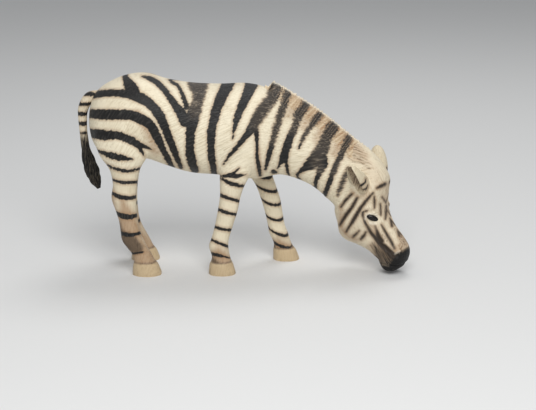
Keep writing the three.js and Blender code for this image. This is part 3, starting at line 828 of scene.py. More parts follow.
# %% Strokes on the trunk and neck
# Column and row in the 536 by 410 picture, and the brush's full width, in pixels.
TRUNK_STROKES = [
    [(80, 97, 8), (92, 95, 7), (104, 93.5, 7), (124, 93.5, 8), (138, 97, 11), (150, 104, 9.5),
     (159, 115, 10), (166, 130, 8.5), (171, 143, 8), (176, 155, 6.5), (181, 167, 4.5)],
    [(123.5, 64, 5.5), (125, 76, 6), (127.7, 82, 9), (131, 88, 13), (134, 93, 13)],
    [(78, 113, 9), (92, 114, 9), (104, 114.5, 10), (128, 115, 10), (142, 119.5, 10), (151, 126, 9.5),
     (157, 137, 9), (163, 149, 6.5), (168, 159, 6), (173, 168, 4)],
    [(78, 131, 9), (90, 133, 9), (104, 135, 10), (118, 135.5, 8), (130, 140, 8), (139, 145, 7),
     (146, 147, 3.5), (153, 150.5, 1)],
    [(137, 144, 5), (141, 150, 4), (144, 156, 1)],
    [(80, 148, 3), (90, 150, 3), (101, 152, 3.5), (110, 155.5, 6), (122, 158, 6.5), (132, 159, 2)],
    [(142, 76.5, 1.5), (150, 78.5, 5), (158, 83.5, 6), (166, 92, 6), (173, 102, 7), (180, 112, 10),
     (186, 122, 12)],
    [(168, 77, 3), (172, 82, 3), (178, 86, 3.5), (183, 96, 4), (187, 107, 6)],
    [(199, 74, 22), (198, 83, 20), (199, 92, 14), (197, 104, 11), (193, 116, 14), (191, 128, 10.5),
     (190, 140, 8.5), (190, 150, 9), (191.5, 160, 9.5), (195, 170, 7.5)],
    [(232, 75, 12), (228, 84, 12), (222, 96, 11), (217, 108, 10), (213.5, 121, 9), (211, 134, 8.5),
     (211, 148, 7.5), (212, 160, 7), (214.5, 175, 5.5)],
    [(255, 76, 14), (251.5, 84, 13), (247, 95, 10), (241.5, 107, 8.5), (237.5, 117, 7), (234.5, 128, 4),
     (232.5, 139.5, 0.8)],
    [(279, 79, 14), (276, 87, 14), (272, 98, 12), (264, 108, 12), (257, 119, 11.5), (252, 128, 9.5),
     (246, 136, 6), (238, 146, 4.5), (230, 155, 3), (223.5, 164, 1)],
    [(254, 125, 6), (256, 131, 6), (257, 142, 3.5), (257, 155, 3.5), (258.5, 165, 4), (260, 175, 3)],
    [(221, 176, 1.5), (230, 175.5, 4.5), (236, 176, 4.5), (246, 174.5, 1)],
    [(233, 174, 3.5), (239, 168.5, 1.5)],
    [(290, 84, 8), (287, 94, 8), (284, 105, 7.5), (279.5, 118, 7), (275.5, 131, 6.5), (272, 144, 5.5),
     (268.5, 157, 5), (265.5, 169, 2.5)],
    [(309, 97, 9), (304, 107, 9), (299, 114, 10), (296, 124, 7), (291.5, 134, 7.5), (287, 146, 8),
     (284, 157, 8.5), (280, 164, 4), (277.5, 168, 1.5)],
    [(284, 158, 6), (286.5, 164, 4), (287.5, 171, 3), (289, 175, 2)],
    [(273, 171.5, 4), (276, 172, 3)],
    [(325, 108, 6), (320, 115, 6), (315, 121, 8), (309, 129, 5), (303, 139, 4), (299, 148, 2)],
    [(343, 114, 9), (337, 123, 9), (330, 131, 11), (325, 142, 12), (320, 153, 14), (315, 161, 15),
     (307, 166, 8), (300, 172, 4), (297, 175, 2.5), (300, 180, 2)],
    [(319, 155, 14), (322, 163, 12), (319, 173, 6), (316, 181, 4.5), (315.5, 188, 3)],
    [(357, 121, 7), (352, 130, 7), (347, 142, 7.5), (342, 153, 6.5), (337, 163, 6), (333, 173, 5.5),
     (329, 183, 5), (325, 194, 5)],
    [(349, 168, 3), (345, 176, 4.5), (341, 186, 4.5), (337.5, 195, 2)],
]
MANE_STROKES = [
    [(271, 97, 8), (275, 91, 11), (279, 84, 11), (283, 77, 9)],
    [(285, 102, 6), (287.5, 96, 7), (290.5, 89, 6), (293, 83, 5)],
    [(298, 116, 6), (303, 109, 9), (309, 102, 7), (313, 96, 6)],
    [(313, 124, 6), (317, 118, 8), (321.5, 112, 6), (325, 107, 5)],
    [(327, 135, 9), (332, 128, 13), (338, 121, 9), (342, 116, 8)],
    [(348, 140, 6), (351, 134, 6), (354, 129, 4), (357, 125, 4)],
]
# Painted sheen, partly dry brushing: grey in the ink on the top of the back, and streaks of it on the neck's
# stripes, where light catches the hair.
SHEEN_AND_DRY_BRUSH_STROKES = [
    [(198, 76, 26), (198, 96, 18), (195, 114, 10)],
    [(276, 84, 16), (266, 106, 18), (256, 124, 12)],
    [(286, 98, 8), (279, 120, 8), (273, 142, 6)],
    [(297, 118, 10), (293, 130, 8)],
    [(312, 124, 8), (303, 140, 5)],
    [(329, 133, 12), (324, 143, 14), (319, 152, 14)],
    [(351, 132, 8), (346, 143, 6), (340, 158, 4), (334, 174, 4)],
    [(319, 152, 12), (316, 161, 12), (319, 170, 6)],
    [(349, 168, 8), (345, 176, 8), (341, 186, 7), (337, 195, 5)],
]
TRUNK_WASH = [
    [(301, 90, 12), (294, 104, 8), (289, 116, 4)],
    [(316, 104, 9), (309, 116, 7), (303, 128, 4)],
    [(330, 116, 9), (322, 128, 8), (315, 140, 4)],
    [(348, 130, 10), (340, 142, 10), (334, 154, 6)],
    [(258, 150, 3), (260, 172, 4)],
    [(137, 112, 5), (150, 138, 6), (156, 152, 6)],
]
FORELOCK_WASH = [
    [(342, 136, 7), (350, 142, 9), (359, 149, 8), (367, 157, 5)],
    [(345, 147, 5), (353, 150, 7), (362, 156, 6), (371, 164, 3)],
    [(349, 157, 4), (357, 159, 6), (365, 163, 4)],
]


def paint(mesh, **layers):
    """Keeps numbers per point in the mesh, for the materials to read."""
    for name, values in layers.items():
        mesh.attributes.new(name, "FLOAT", "POINT").data.foreach_set("value", np.asarray(values, np.float32))


print("strokes:", len(TRUNK_STROKES), "on the trunk and neck,", len(MANE_STROKES), "on the mane")

# %% [markdown]
# ## Bands on the legs
# The legs have narrow bands, brown fetlocks with painted shadow down the back of the hind cannon, and tan
# hooves with a dark ring above. They take strokes as the trunk does. But the legs of a pair stand at
# different places, so a left leg's points are first moved to where the right leg stands, and the move fades
# out in the trunk, so that no stripe breaks.

# %% Strokes on the legs
LEG_STROKES = [
    [(217, 176.5, 2), (221, 178.5, 2), (229, 182.5, 4), (238, 185.5, 4), (245, 186, 2), (250, 185, 2)],
    [(214, 192.5, 3), (219, 194.5, 3), (228, 198, 3.5), (240, 201.5, 3), (246, 203, 3)],
    [(212, 207, 3), (217.5, 209, 3), (226, 212.5, 3.2), (238, 215, 3), (244, 216, 3)],
    [(210, 225.5, 3), (215, 227, 3), (224, 229.5, 3), (233, 230, 3), (239, 230, 3)],
    [(207, 237.5, 2.5), (212, 240, 2.5), (220, 243.5, 3), (229, 247, 2.5), (234, 249, 2.5)],
    [(205, 252.5, 3), (210, 253.5, 3.5), (217, 255, 3.5), (226, 257, 2), (231, 258, 1)],
    [(102, 163, 1.5), (108, 165.5, 1.5), (116, 169, 3), (126, 171, 3.5), (134, 170, 3), (141, 168.5, 2),
     (147, 167, 1)],
    [(106, 178, 2.5), (113, 180, 2.5), (123, 182.5, 3), (137, 182, 3), (143, 181.5, 2.5)],
    [(106, 190, 3), (112, 193, 3), (120, 197, 4.5), (130, 198, 4), (137, 196.5, 3), (143, 195, 3)],
    [(107, 208, 3), (113, 211, 3), (121, 215.5, 5), (130, 217, 5), (137, 215, 3.5), (143, 213, 3)],
    [(113, 231, 4), (120, 233, 4), (130, 235, 4), (140, 233, 3), (146, 231.5, 3)],
    [(117, 250, 3), (124, 252, 3), (133, 253.5, 2.5), (143, 252, 2)],
]
LEG_WASH = [
    [(122, 200, 4), (126, 215, 16), (128, 230, 26), (130, 245, 30), (138, 256, 30), (148, 264, 26)],
    [(112, 190, 3), (113, 208, 6)],
    [(218, 250, 6), (220, 260, 20), (224, 268, 22)],
    [(245, 196, 3), (238, 222, 3)],
]
# Dark brown round the fetlocks, partly painted shadow: down the back of the hind cannon and round the hind
# fetlock.
LEG_SMOKE_AND_SHADOW = [
    [(119, 222, 1), (121, 234, 8), (128, 241, 16), (137, 248, 12)],
    [(212, 258, 3), (215, 263, 6), (222, 265, 3)],
]
print("strokes on the legs:", len(LEG_STROKES))

# %% Paint the legs
HOOF_TOP = 5.7
HOOF_BLUR = 0.35
CORONET = 0.7
CORONET_COVER = 0.36
LEG_SMOKE_AND_SHADOW_COVER = 0.62
LEG_SMOKE_AND_SHADOW_BLUR = 4.0
WASH_BLUR = 5.0
LIMB_REACH = 14.5
LIMB_REACH_BLUR = 5.5


def as_right_limb(points, rows):
    """Left points on the right side, with a limb's own x at each height moved to the right limb's. The move
    fades out with the distance from the limb."""
    z, right_x, left_x = np.array(rows, float)[:, [0, 3, 4]].T
    away = np.abs(points[:, 0] - np.interp(points[:, 2], z, left_x))
    share = soft(LIMB_REACH - away, LIMB_REACH_BLUR) * (points[:, 1] > 0)
    move = np.interp(points[:, 2], z, right_x - left_x) * share
    return right_side(points) + move[:, None] * np.array([1, 0, 0])


def figure_spots(points):
    """Places in the side view of any point of trunk and legs."""
    fore = points[:, 0] > BETWEEN_LEGS_X
    moved = np.where(fore[:, None], as_right_limb(points, FORE_LIMB), as_right_limb(points, HIND_LIMB))
    return picture(moved)


for name in limb_grids:
    points = points_of(meshes[name])
    spots = figure_spots(points)
    depth = stroke_depth(spots, TRUNK_STROKES + MANE_STROKES + LEG_STROKES)
    coronet = soft(CORONET - np.abs(points[:, 2] - HOOF_TOP - CORONET / 2), CORONET)
    smoke = LEG_SMOKE_AND_SHADOW_COVER * cover(spots, LEG_SMOKE_AND_SHADOW, LEG_SMOKE_AND_SHADOW_BLUR)
    paint(
        meshes[name],
        ink=depth * PIXEL_MM,
        wash=cover(spots, LEG_WASH, WASH_BLUR),
        smoke=np.maximum(smoke, CORONET_COVER * coronet),
        horn=soft(HOOF_TOP - points[:, 2], HOOF_BLUR),
    )
    print(name, "inked points:", int((depth > 0).sum()), "of", len(points))

# %% Paint the trunk
# Hair lies steeper from STEEP_FROM_X back on the rump, and more level from LEVEL_FROM_X on to the neck.
SHEEN_AND_DRY_BRUSH_BLUR = 5.0
FORELOCK_BLUR = 6.0
FORELOCK_COVER = 0.26
LOCK_BLUR = 2.0
LOCK_COVER = 0.4
STEEP_FROM_X = -38.0
STEEP_OVER = 14.0
LEVEL_FROM_X = -6.0
LEVEL_OVER = 16.0


def lock_smoke(spots, forelock):
    """Painted shade in the grooves between locks, and a little dark paint on the whole forelock."""
    return np.maximum(LOCK_COVER * cover(spots, LOCK_GROOVES, LOCK_BLUR), FORELOCK_COVER * forelock)


for name in ("right_trunk_shell", "left_trunk_shell"):
    points = points_of(meshes[name])
    spots = figure_spots(points)
    depth = stroke_depth(spots, TRUNK_STROKES + MANE_STROKES + LEG_STROKES)
    forelock = cover(spots, FORELOCK_WASH, FORELOCK_BLUR)
    paint(
        meshes[name],
        ink=depth * PIXEL_MM,
        dry=cover(spots, SHEEN_AND_DRY_BRUSH_STROKES, SHEEN_AND_DRY_BRUSH_BLUR),
        wash=cover(spots, TRUNK_WASH + FORELOCK_WASH, WASH_BLUR),
        smoke=lock_smoke(spots, forelock),
        forelock=forelock,
        steep=np.clip((STEEP_FROM_X - points[:, 0]) / STEEP_OVER, 0, 1),
        level=np.clip((points[:, 0] - LEVEL_FROM_X) / LEVEL_OVER, 0, 1),
    )
    print(name, "inked points:", int((depth > 0).sum()), "of", len(points))

# %% [markdown]
# ## Face and ears
# Fine brown-black lines frame the eye and run down to a dark muzzle, over tan and brown washes, with pale
# paint and painted highlights on the lids and nostril, and painted shade round the ear's base and down the
# edge of the nose. The head is turned, so its strokes are mirrored about its own mid plane, and near the
# neck they pass over into the trunk's. An ear's cup is brown, partly as painted shade in its hollow, and
# bare of ink.

# %% Strokes on the head and ears
HEAD_STROKES = [
    [(352, 194, 2.5), (346, 200, 3), (341, 207, 2)],
    [(357, 198, 2.5), (352, 207, 3.5), (346, 215, 4), (340, 225, 2.5)],
    [(373, 193, 2), (366, 201, 3), (360, 209, 3.5), (354, 219, 4), (346, 232, 2)],
    [(367, 211, 1.4), (363.5, 212, 2.4), (362.7, 214.5, 2.4), (363.5, 218, 2), (365, 222, 2.4),
     (367.5, 226.7, 2.8), (370.8, 232.5, 3.4), (375, 237.5, 4), (379.2, 242.5, 5), (385, 248, 6.5),
     (390, 253, 7), (394, 257, 7)],
    [(375, 226, 1), (377, 231, 2.6), (378.3, 235.5, 4.6), (381, 241, 6)],
    [(381.7, 225, 1.4), (385, 231, 2.4), (388.5, 237, 2.8), (391.5, 242.5, 3), (394.5, 248.5, 2.6)],
    [(374.3, 196.7, 1.6), (374.7, 202, 2.4), (374.4, 208, 1.6)],
    [(380.3, 204, 1.4), (380.8, 209, 1.8), (380.8, 215, 1.5)],
    [(382, 197, 1.4), (389, 207, 1.6)],
    [(386.3, 206, 2), (386.2, 212, 2.4), (385.5, 219, 1.6)],
    [(390.5, 218.5, 2.4), (392, 226, 2.4)],
    [(397.8, 229.5, 1.8), (399.3, 236, 1.8)],
    [(377, 188, 2.5), (381, 186, 3.5), (385, 184, 3.5)],
    [(353, 237, 2), (356, 234, 2.5), (359, 231, 1.6)],
    [(361, 239, 2.5), (364, 235.5, 3), (366, 232, 2)],
]
EAR_STROKES = [
    [(366, 178.5, 1.2), (364.5, 183, 2), (359.5, 186.5, 1.6)],
    [(367.5, 185.5, 1.2), (366, 188.5, 2), (361.5, 190.5, 1.4)],
]
HEAD_SMOKE = [
    [(413, 250, 8), (407, 258, 17), (400, 265, 20), (392, 271, 14), (383, 273, 10)],
    [(378, 264, 2), (384, 268, 6), (392, 271, 10)],
]
HEAD_UMBER = [
    [(373, 245, 3), (378, 251, 8), (383, 258, 15), (387, 263, 19), (388, 269, 16)],
]
# Brown hatching down the nose bridge, partly hair lines of paint and partly painted shade along the edge of
# the profile.
HEAD_HATCH = [
    [(388, 212, 1), (393, 222, 4), (398, 232, 7), (403, 242, 9), (402, 248, 8)],
    [(379, 228, 2), (385, 238, 4), (391, 248, 4)],
]
# Painted highlights, partly pale paint: along the rims of the lids, and a glint on the nostril's upper rim.
HEAD_PALE = [
    [(365.3, 219, 1.4), (367, 215.2, 1.6), (372, 213.9, 1.6), (378, 216.3, 1.4)],
    [(370, 223.5, 1.2), (376, 224, 1.6)],
    [(395, 254, 0.6), (397, 252.6, 1.4), (399.5, 251, 0.6)],
]
HEAD_TAN = [
    [(352, 158, 10), (362, 162, 14), (372, 172, 16), (379, 184, 14), (384, 196, 8)],
    [(386, 206, 4), (391, 220, 8), (397, 234, 10), (401, 243, 10), (396, 249, 6)],
]
HEAD_WASH_AND_SHADOW = [
    [(372, 246, 10), (380, 254, 14), (388, 258, 12)],
    [(400, 236, 8), (404, 243, 14), (400, 250, 12)],
    [(372, 226, 4), (380, 240, 6)],
    [(340, 205, 3), (343, 230, 6), (356, 240, 5)],
    [(388, 190, 6), (388, 200, 5)],
    # Painted shadow that the near ear casts round its base.
    [(352, 191, 2), (357, 196, 3), (364, 196, 3), (370, 187, 2)],
]
print("strokes:", len(HEAD_STROKES), "on the head,", len(EAR_STROKES), "on each ear")

# %% Paint the head
BLEND_HALF = 4.0
NAPE_HALF = 6.0
HATCH_BLUR = 4.0
HATCH_COVER = 0.3
UMBER_COVER = 0.95
MUZZLE_BLUR = 3.0
MUZZLE_COVER = 1.9
FACE_WASH = 0.25
TAN_COVER = 0.45
PALE_BLUR = 1.2
PALE_COVER = 0.6

points = points_of(meshes["head"])
beyond = past_neck(points)
spots = head_spots(points)
spots += soft(BLEND_HALF - beyond, BLEND_HALF)[:, None] * (picture(right_side(points)) - spots)
forelock = cover(spots, FORELOCK_WASH, FORELOCK_BLUR)
hatch = cover(spots, HEAD_HATCH, HATCH_BLUR)
nape = 1 - soft(beyond - NAPE_HALF, NAPE_HALF)
smoke = [
    MUZZLE_COVER * cover(spots, HEAD_SMOKE, MUZZLE_BLUR),
    UMBER_COVER * cover(spots, HEAD_UMBER, WASH_BLUR),
    HATCH_COVER * hatch,
    lock_smoke(spots, forelock),
]
wash = [
    cover(spots, TRUNK_WASH + FORELOCK_WASH + HEAD_WASH_AND_SHADOW, WASH_BLUR),
    TAN_COVER * cover(spots, HEAD_TAN, WASH_BLUR),
    FACE_WASH * (1 - nape),
]
paint(
    meshes["head"],
    ink=stroke_depth(spots, TRUNK_STROKES + HEAD_STROKES) * PIXEL_MM,
    wash=np.max(wash, axis=0),
    smoke=np.max(smoke, axis=0),
    pale=PALE_COVER * cover(spots, HEAD_PALE, PALE_BLUR),
    nape=nape,
    forelock=forelock,
    hatch=hatch,
)
print("points of the dark muzzle:", int((smoke[0] > 0.5).sum()), "of", len(points))

# %% Paint the ears
CUP_EDGE = 3.0
CUP_FOOT = 6.0
CUP_NO_INK = 4.0
# Brown inside the cup, partly brown paint and partly painted shade in its hollow.
CUP_WASH_AND_SHADE = 0.8
BACK_WASH = 0.1
CUP_SMOKE_AND_SHADE = 0.45
# The two points that close a tube's ends come last, and get no paint.
END_POINTS = [0, 0]

ear_share = spline(EAR_PROFILE, EAR_RINGS_PER_ROW)[:, 0:1]
inside = np.clip(np.sin(once_round(EAR_SIDES)) * CUP_EDGE, 0, 1) * np.clip(ear_share * CUP_FOOT, 0, 1)
inside = np.append(inside.ravel(), END_POINTS)
for name in EARS:
    spots = head_spots(points_of(meshes[name]))
    paint(
        meshes[name],
        ink=stroke_depth(spots, EAR_STROKES) * PIXEL_MM - CUP_NO_INK * inside,
        wash=BACK_WASH + CUP_WASH_AND_SHADE * inside,
        smoke=CUP_SMOKE_AND_SHADE * inside,
    )
print("points in an ear's cup:", int((inside > 0.5).sum()))

# %% [markdown]
# ## Mane and tail
# The neck's stripes run on through the mane, in tan hair with cream tips, partly a painted highlight along
# the crest. The tan is deeper in the grooves between the ridges as painted shade, and the ink is lighter on
# the ridges as a painted sheen. The tail has dark bands, from a cosine of the height, above a dark brown
# tuft.

# %% Paint the mane and tail
# The mane's tip gets no ink, less tan and pale paint: partly a painted highlight along the crest.
MANE_TIP = 0.9
TIP_BLUR = 0.06
TIP_NO_INK = 2.0
TIP_PALE = 0.6
TAN_WASH = 0.9
TIP_WASH = -0.6
TAN_FROM_SHARE = 0.15
TAN_SHARE_BLUR = 0.25
TAN_FROM_X = 18.0
TAN_X_BLUR = 4.0
# Painted shade: the tan is deeper between the mane's ridges. Painted sheen, partly dry brushing: the ink is
# lighter on the ridges.
RIDGE_WASH = 0.3
RIDGE_DRY_SHEEN = 1.6
BETWEEN_DRY_SHEEN = -1.5
TAIL_BAND = 4.6
BAND_INK = 0.8
BAND_GAP = 0.25
TUFT_TOP = 62.0
TUFT_BLUR = 5.0
TUFT_NO_INK = 2.0
TUFT_SMOKE = 1.6

points = points_of(meshes["mane"])
spots = picture(right_side(points))
mane_share = np.append(np.tile(mane_bell, len(points) // MANE_SIDES), END_POINTS)
between = np.append(mane_between.ravel(), END_POINTS)
tip = soft(mane_share - MANE_TIP, TIP_BLUR)
tan = TAN_WASH * soft(mane_share - TAN_FROM_SHARE, TAN_SHARE_BLUR) + TIP_WASH * tip
tan *= soft(points[:, 0] - TAN_FROM_X, TAN_X_BLUR)
wash = np.maximum(tan, cover(spots, TRUNK_WASH + FORELOCK_WASH, WASH_BLUR))
paint(
    meshes["mane"],
    ink=stroke_depth(spots, TRUNK_STROKES + MANE_STROKES) * PIXEL_MM - TIP_NO_INK * tip,
    wash=wash * (RIDGE_WASH + between),
    pale=TIP_PALE * tip,
    dry=RIDGE_DRY_SHEEN + BETWEEN_DRY_SHEEN * between,
)
height = points_of(meshes["tail"])[:, 2]
tuft = soft(TUFT_TOP - height, TUFT_BLUR)
paint(
    meshes["tail"],
    ink=np.cos(2 * np.pi * height / TAIL_BAND) * BAND_INK - BAND_GAP - TUFT_NO_INK * tuft,
    smoke=TUFT_SMOKE * tuft,
)
print("points of the tuft:", int((tuft > 0.5).sum()), "of", len(height))

# %% [markdown]
# ## Paint and engraved hair
# All mouldings share one kind of coat: cream PVC with fine hair engraved in it, near-black stripes that
# fray along the hair, brown washes, dry brushing, painted shade, painted highlights and a painted sheen,
# and satin gloss. Hair is noise stretched along its lay. A small class lets the shader's maths be written
# as plain expressions, which add Math nodes.

# %% Shader helper


class Wire:
    """A value on its way through a material's nodes."""

    def __init__(self, tree, socket=None):
        self.tree = tree
        self.socket = socket

    def node(self, kind, settings, inputs, output=0):
        """Adds a node of a type, sets its settings, then its sockets by value or link."""
        made = self.tree.nodes.new(kind)
        for name, value in settings.items():
            setattr(made, name, value)
        for name, value in inputs.items():
            if isinstance(value, Wire):
                self.tree.links.new(value.socket, made.inputs[name])
            else:
                made.inputs[name].default_value = value
        return Wire(self.tree, made.outputs[output])

    def maths(self, operation, first, second):
        """A Math node on two values or wires."""
        return self.node("ShaderNodeMath", {"operation": operation}, {0: first, 1: second})

    def __add__(self, other):
        return self.maths("ADD", self, other)

    def __sub__(self, other):
        return self.maths("SUBTRACT", self, other)

    def __rsub__(self, other):
        return self.maths("SUBTRACT", other, self)

    def __mul__(self, other):
        return self.maths("MULTIPLY", self, other)

    __radd__ = __add__
    __rmul__ = __mul__

    def rise(self, low, high):
        """A smooth step from 0 at low to 1 at high."""
        ends = {"Value": self, "From Min": low, "From Max": high}
        return self.node("ShaderNodeMapRange", {"interpolation_type": "SMOOTHSTEP"}, ends)

    def tint(self, under, over):
        """This mask lays one colour over another."""
        return self.node("ShaderNodeMix", {"data_type": "RGBA"}, {0: self, 6: under, 7: over}, 2)

    def layer(self, name):
        """A number kept per point of the mesh."""
        return self.node("ShaderNodeAttribute", {"attribute_name": name}, {}, "Fac")


def srgb(red, green, blue):
    """A colour as a picture editor gives it, in the linear numbers that shaders take."""
    shares = [part / 255 for part in (red, green, blue)]
    linear = [((s + 0.055) / 1.055) ** 2.4 if s > 0.04 else s / 12.92 for s in shares]
    return (*linear, 1.0)


def new_material(name):
    """A new material, its shader, a wire to build its nodes with, and the piece's own coordinates."""
    material = bpy.data.materials.new(name)
    material.use_nodes = True
    wire = Wire(material.node_tree)
    place = wire.node("ShaderNodeTexCoord", {}, {}, "Object")
    return material, material.node_tree.nodes["Principled BSDF"], wire, place


print("mid grey in linear numbers:", round(srgb(128, 128, 128)[0], 3))

# %% Lines of hair
HAIR_LENGTH = 0.007
HAIR_PITCH = 0.0009
FINE_PITCH = 0.0007
WAVY = 5.5
STRAIGHT = 1.5
LINE_TURNS = 4.2
LINE_HEIGHT = 0.1
HAIR_NOISE = {"Scale": 0.8, "Detail": 3.0, "Roughness": 0.6}
NOISE_HEIGHT = 0.7
NOISE_LIFT = 0.15


def combed(wire, place, tilt, turn, pitch, waver):
    """Hair along its lay, which is tilted up from level and turned about the vertical: a fringe of noise
    that is stretched along the lay, and the same plus sines across it whose phase the noise shifts, so that
    lines of hair run side by side and waver."""
    rotation = (0.0, -math.radians(tilt), math.radians(turn))
    sockets = {"Vector": place, "Rotation": rotation, "Scale": (HAIR_LENGTH, pitch, pitch)}
    lay = wire.node("ShaderNodeMapping", {"vector_type": "TEXTURE"}, sockets)
    noise = wire.node("ShaderNodeTexNoise", {}, {"Vector": lay, **HAIR_NOISE})
    sideways = wire.node("ShaderNodeSeparateXYZ", {}, {"Vector": lay}, "Y")
    upwards = wire.node("ShaderNodeSeparateXYZ", {}, {"Vector": lay}, "Z")
    line = upwards - wire.maths("ABSOLUTE", sideways, 0.0) + noise * waver
    sines = wire.maths("SINE", line * LINE_TURNS, 0.0)
    return noise, noise * NOISE_HEIGHT + NOISE_LIFT + sines * LINE_HEIGHT


print("lines of hair", round(HAIR_PITCH * 2 * math.pi / LINE_TURNS * 1000, 2), "mm apart")

# %% A painted coat
CREAM = srgb(236, 225, 199)
CREAM_DEEP = srgb(188, 170, 136)
# Pale paint, used partly as painted highlights.
PALE = srgb(244, 236, 218)
INK = srgb(22, 21, 20)
INK_FACE = srgb(52, 41, 31)
# Painted highlight on the ink's raised strands, and a painted sheen, partly dry brushing, in brownish grey.
INK_HIGHLIGHT = srgb(92, 88, 82)
INK_DRY_BRUSH_SHEEN = srgb(98, 86, 74)
BROWN = srgb(158, 121, 87)
UMBER = srgb(80, 66, 52)
MUZZLE = srgb(14, 13, 12)
HORN = srgb(208, 187, 151)
HORN_DEEP = srgb(158, 130, 96)
HAIR_RELIEF = 0.0006
RELIEF_STRENGTH = 0.8
FRAY_MM = 2.2
FRAY_DRY_MM = 2.6
INK_EDGE_MM = 0.26
DRY_EDGE_MM = 0.7
HALO_MM = 1.5
CLOUDS = {"Scale": 90.0, "Detail": 2.0}
CLOUD_RANGE = (0.45, 0.75)
STRAND_RANGE = (0.5, 0.72)
GROOVE_RANGE = (0.45, 0.75)
UMBER_RANGE = (0.05, 0.5)
MUZZLE_RANGE = (0.5, 0.95)
GROOVE_SHADE = 0.55
CLOUD_SHADE = 0.2
EVEN_WASH = 0.6
HALO_SHADE = 0.5
UMBER_SHADE = 0.85
HORN_SHADE = 0.7
# Shares of painted highlight on raised strands of ink, and of painted sheen where the brush was dry.
STRAND_HIGHLIGHT = 0.35
DRY_BRUSH_SHEEN = 0.3
BARE_ROUGHNESS = 0.54
INK_SMOOTHER = 0.08
HAIR_ROUGHER = 0.2
COAT_GLOSS = 0.32


def coat(name, lays, base=CREAM, pigment=INK, fray=FRAY_MM, edge=INK_EDGE_MM, grain=1.0):
    """A painted coat. Each lay of hair is a tilt and a turn in degrees, a pitch, how much its lines waver
    and, after the first, the layer that weighs it. Grain is the share of shade between the hairs."""
    material, shader, wire, place = new_material(name)
    fringe, hair = combed(wire, place, *lays[0])
    for *lay, weight in lays[1:]:
        next_fringe, next_hair = combed(wire, place, *lay)
        fringe = fringe + (next_fringe - fringe) * wire.layer(weight)
        hair = hair + (next_hair - hair) * wire.layer(weight)
    broad = wire.node("ShaderNodeTexNoise", {}, {"Vector": place, **CLOUDS})
    strand = hair.rise(*STRAND_RANGE)
    groove = (1 - hair).rise(*GROOVE_RANGE) * grain + 0.5 * (1 - grain)
    dry = wire.layer("dry")
    ink = wire.layer("ink") + (fringe - 0.5) * (dry * FRAY_DRY_MM + fray)
    blur = dry * DRY_EDGE_MM + edge
    mask = ink.rise(blur * -1, blur)
    smoke = wire.layer("smoke") * (groove + 0.5)
    # Bare plastic, with shade between the hairs.
    shade = groove * GROOVE_SHADE + broad.rise(*CLOUD_RANGE) * CLOUD_SHADE
    colour = shade.tint(base, CREAM_DEEP)
    # Brown washes, some of them painted shade, a brown edge along the ink, and umber over dark paint and
    # painted shade.
    wash = wire.layer("wash") * (groove * (1 - EVEN_WASH) + EVEN_WASH)
    colour = wash.tint(colour, BROWN)
    colour = (ink.rise(-HALO_MM, 0.1) * HALO_SHADE).tint(colour, BROWN)
    colour = (smoke.rise(*UMBER_RANGE) * UMBER_SHADE).tint(colour, UMBER)
    # Ink, greyer on the raised strands as a painted highlight, and brownish grey where the brush was dry,
    # which is partly dry brushing and partly a painted sheen.
    black = (strand * (dry * DRY_BRUSH_SHEEN + STRAND_HIGHLIGHT)).tint(pigment, INK_HIGHLIGHT)
    black = (dry * DRY_BRUSH_SHEEN).tint(black, INK_DRY_BRUSH_SHEEN)
    colour = (mask * (1 - dry * strand * DRY_BRUSH_SHEEN)).tint(colour, black)
    # Last the near-black muzzle, pale touches that are partly pale paint and partly painted highlights, and
    # the horn of the hooves.
    colour = smoke.rise(*MUZZLE_RANGE).tint(colour, MUZZLE)
    colour = wire.layer("pale").tint(colour, PALE)
    colour = wire.layer("horn").tint(colour, (groove * HORN_SHADE).tint(HORN, HORN_DEEP))
    rough = BARE_ROUGHNESS - mask * INK_SMOOTHER + (hair - 0.5) * HAIR_ROUGHER
    relief = {"Strength": RELIEF_STRENGTH, "Distance": HAIR_RELIEF, "Height": hair}
    bump = wire.node("ShaderNodeBump", {}, relief, "Normal")
    wire.tree.links.new(colour.socket, shader.inputs["Base Color"])
    wire.tree.links.new(rough.socket, shader.inputs["Roughness"])
    wire.tree.links.new(bump.socket, shader.inputs["Normal"])
    shader.inputs["Specular IOR Level"].default_value = COAT_GLOSS
    return material


print("a stripe's edge frays over", FRAY_MM, "mm, or", FRAY_MM + FRAY_DRY_MM, "mm with a dry brush")

# %% Coats
EYE_BLACK = srgb(10, 9, 10)
EYE_BROWN = srgb(24, 19, 17)
EYE_CLOUDS = {"Scale": 700.0, "Detail": 2.0}
EYE_ROUGHNESS = 0.22
EYE_GLOSS = 0.3
EAR_CREAM = srgb(226, 214, 186)
MANE_TAN = srgb(222, 204, 172)
FINE_FRAY_MM = 1.2
FACE_EDGE_MM = 0.6
LEG_GRAIN = 0.35


def eye_gloss():
    """Glossy black with a little brown in it, in soft clouds."""
    material, shader, wire, place = new_material("gloss_black_eye")
    cloud = wire.node("ShaderNodeTexNoise", {}, {"Vector": place, **EYE_CLOUDS})
    wire.tree.links.new(cloud.tint(EYE_BLACK, EYE_BROWN).socket, shader.inputs["Base Color"])
    wire.tree.links.new((cloud * 0.1 + EYE_ROUGHNESS).socket, shader.inputs["Roughness"])
    shader.inputs["Specular IOR Level"].default_value = EYE_GLOSS
    return material


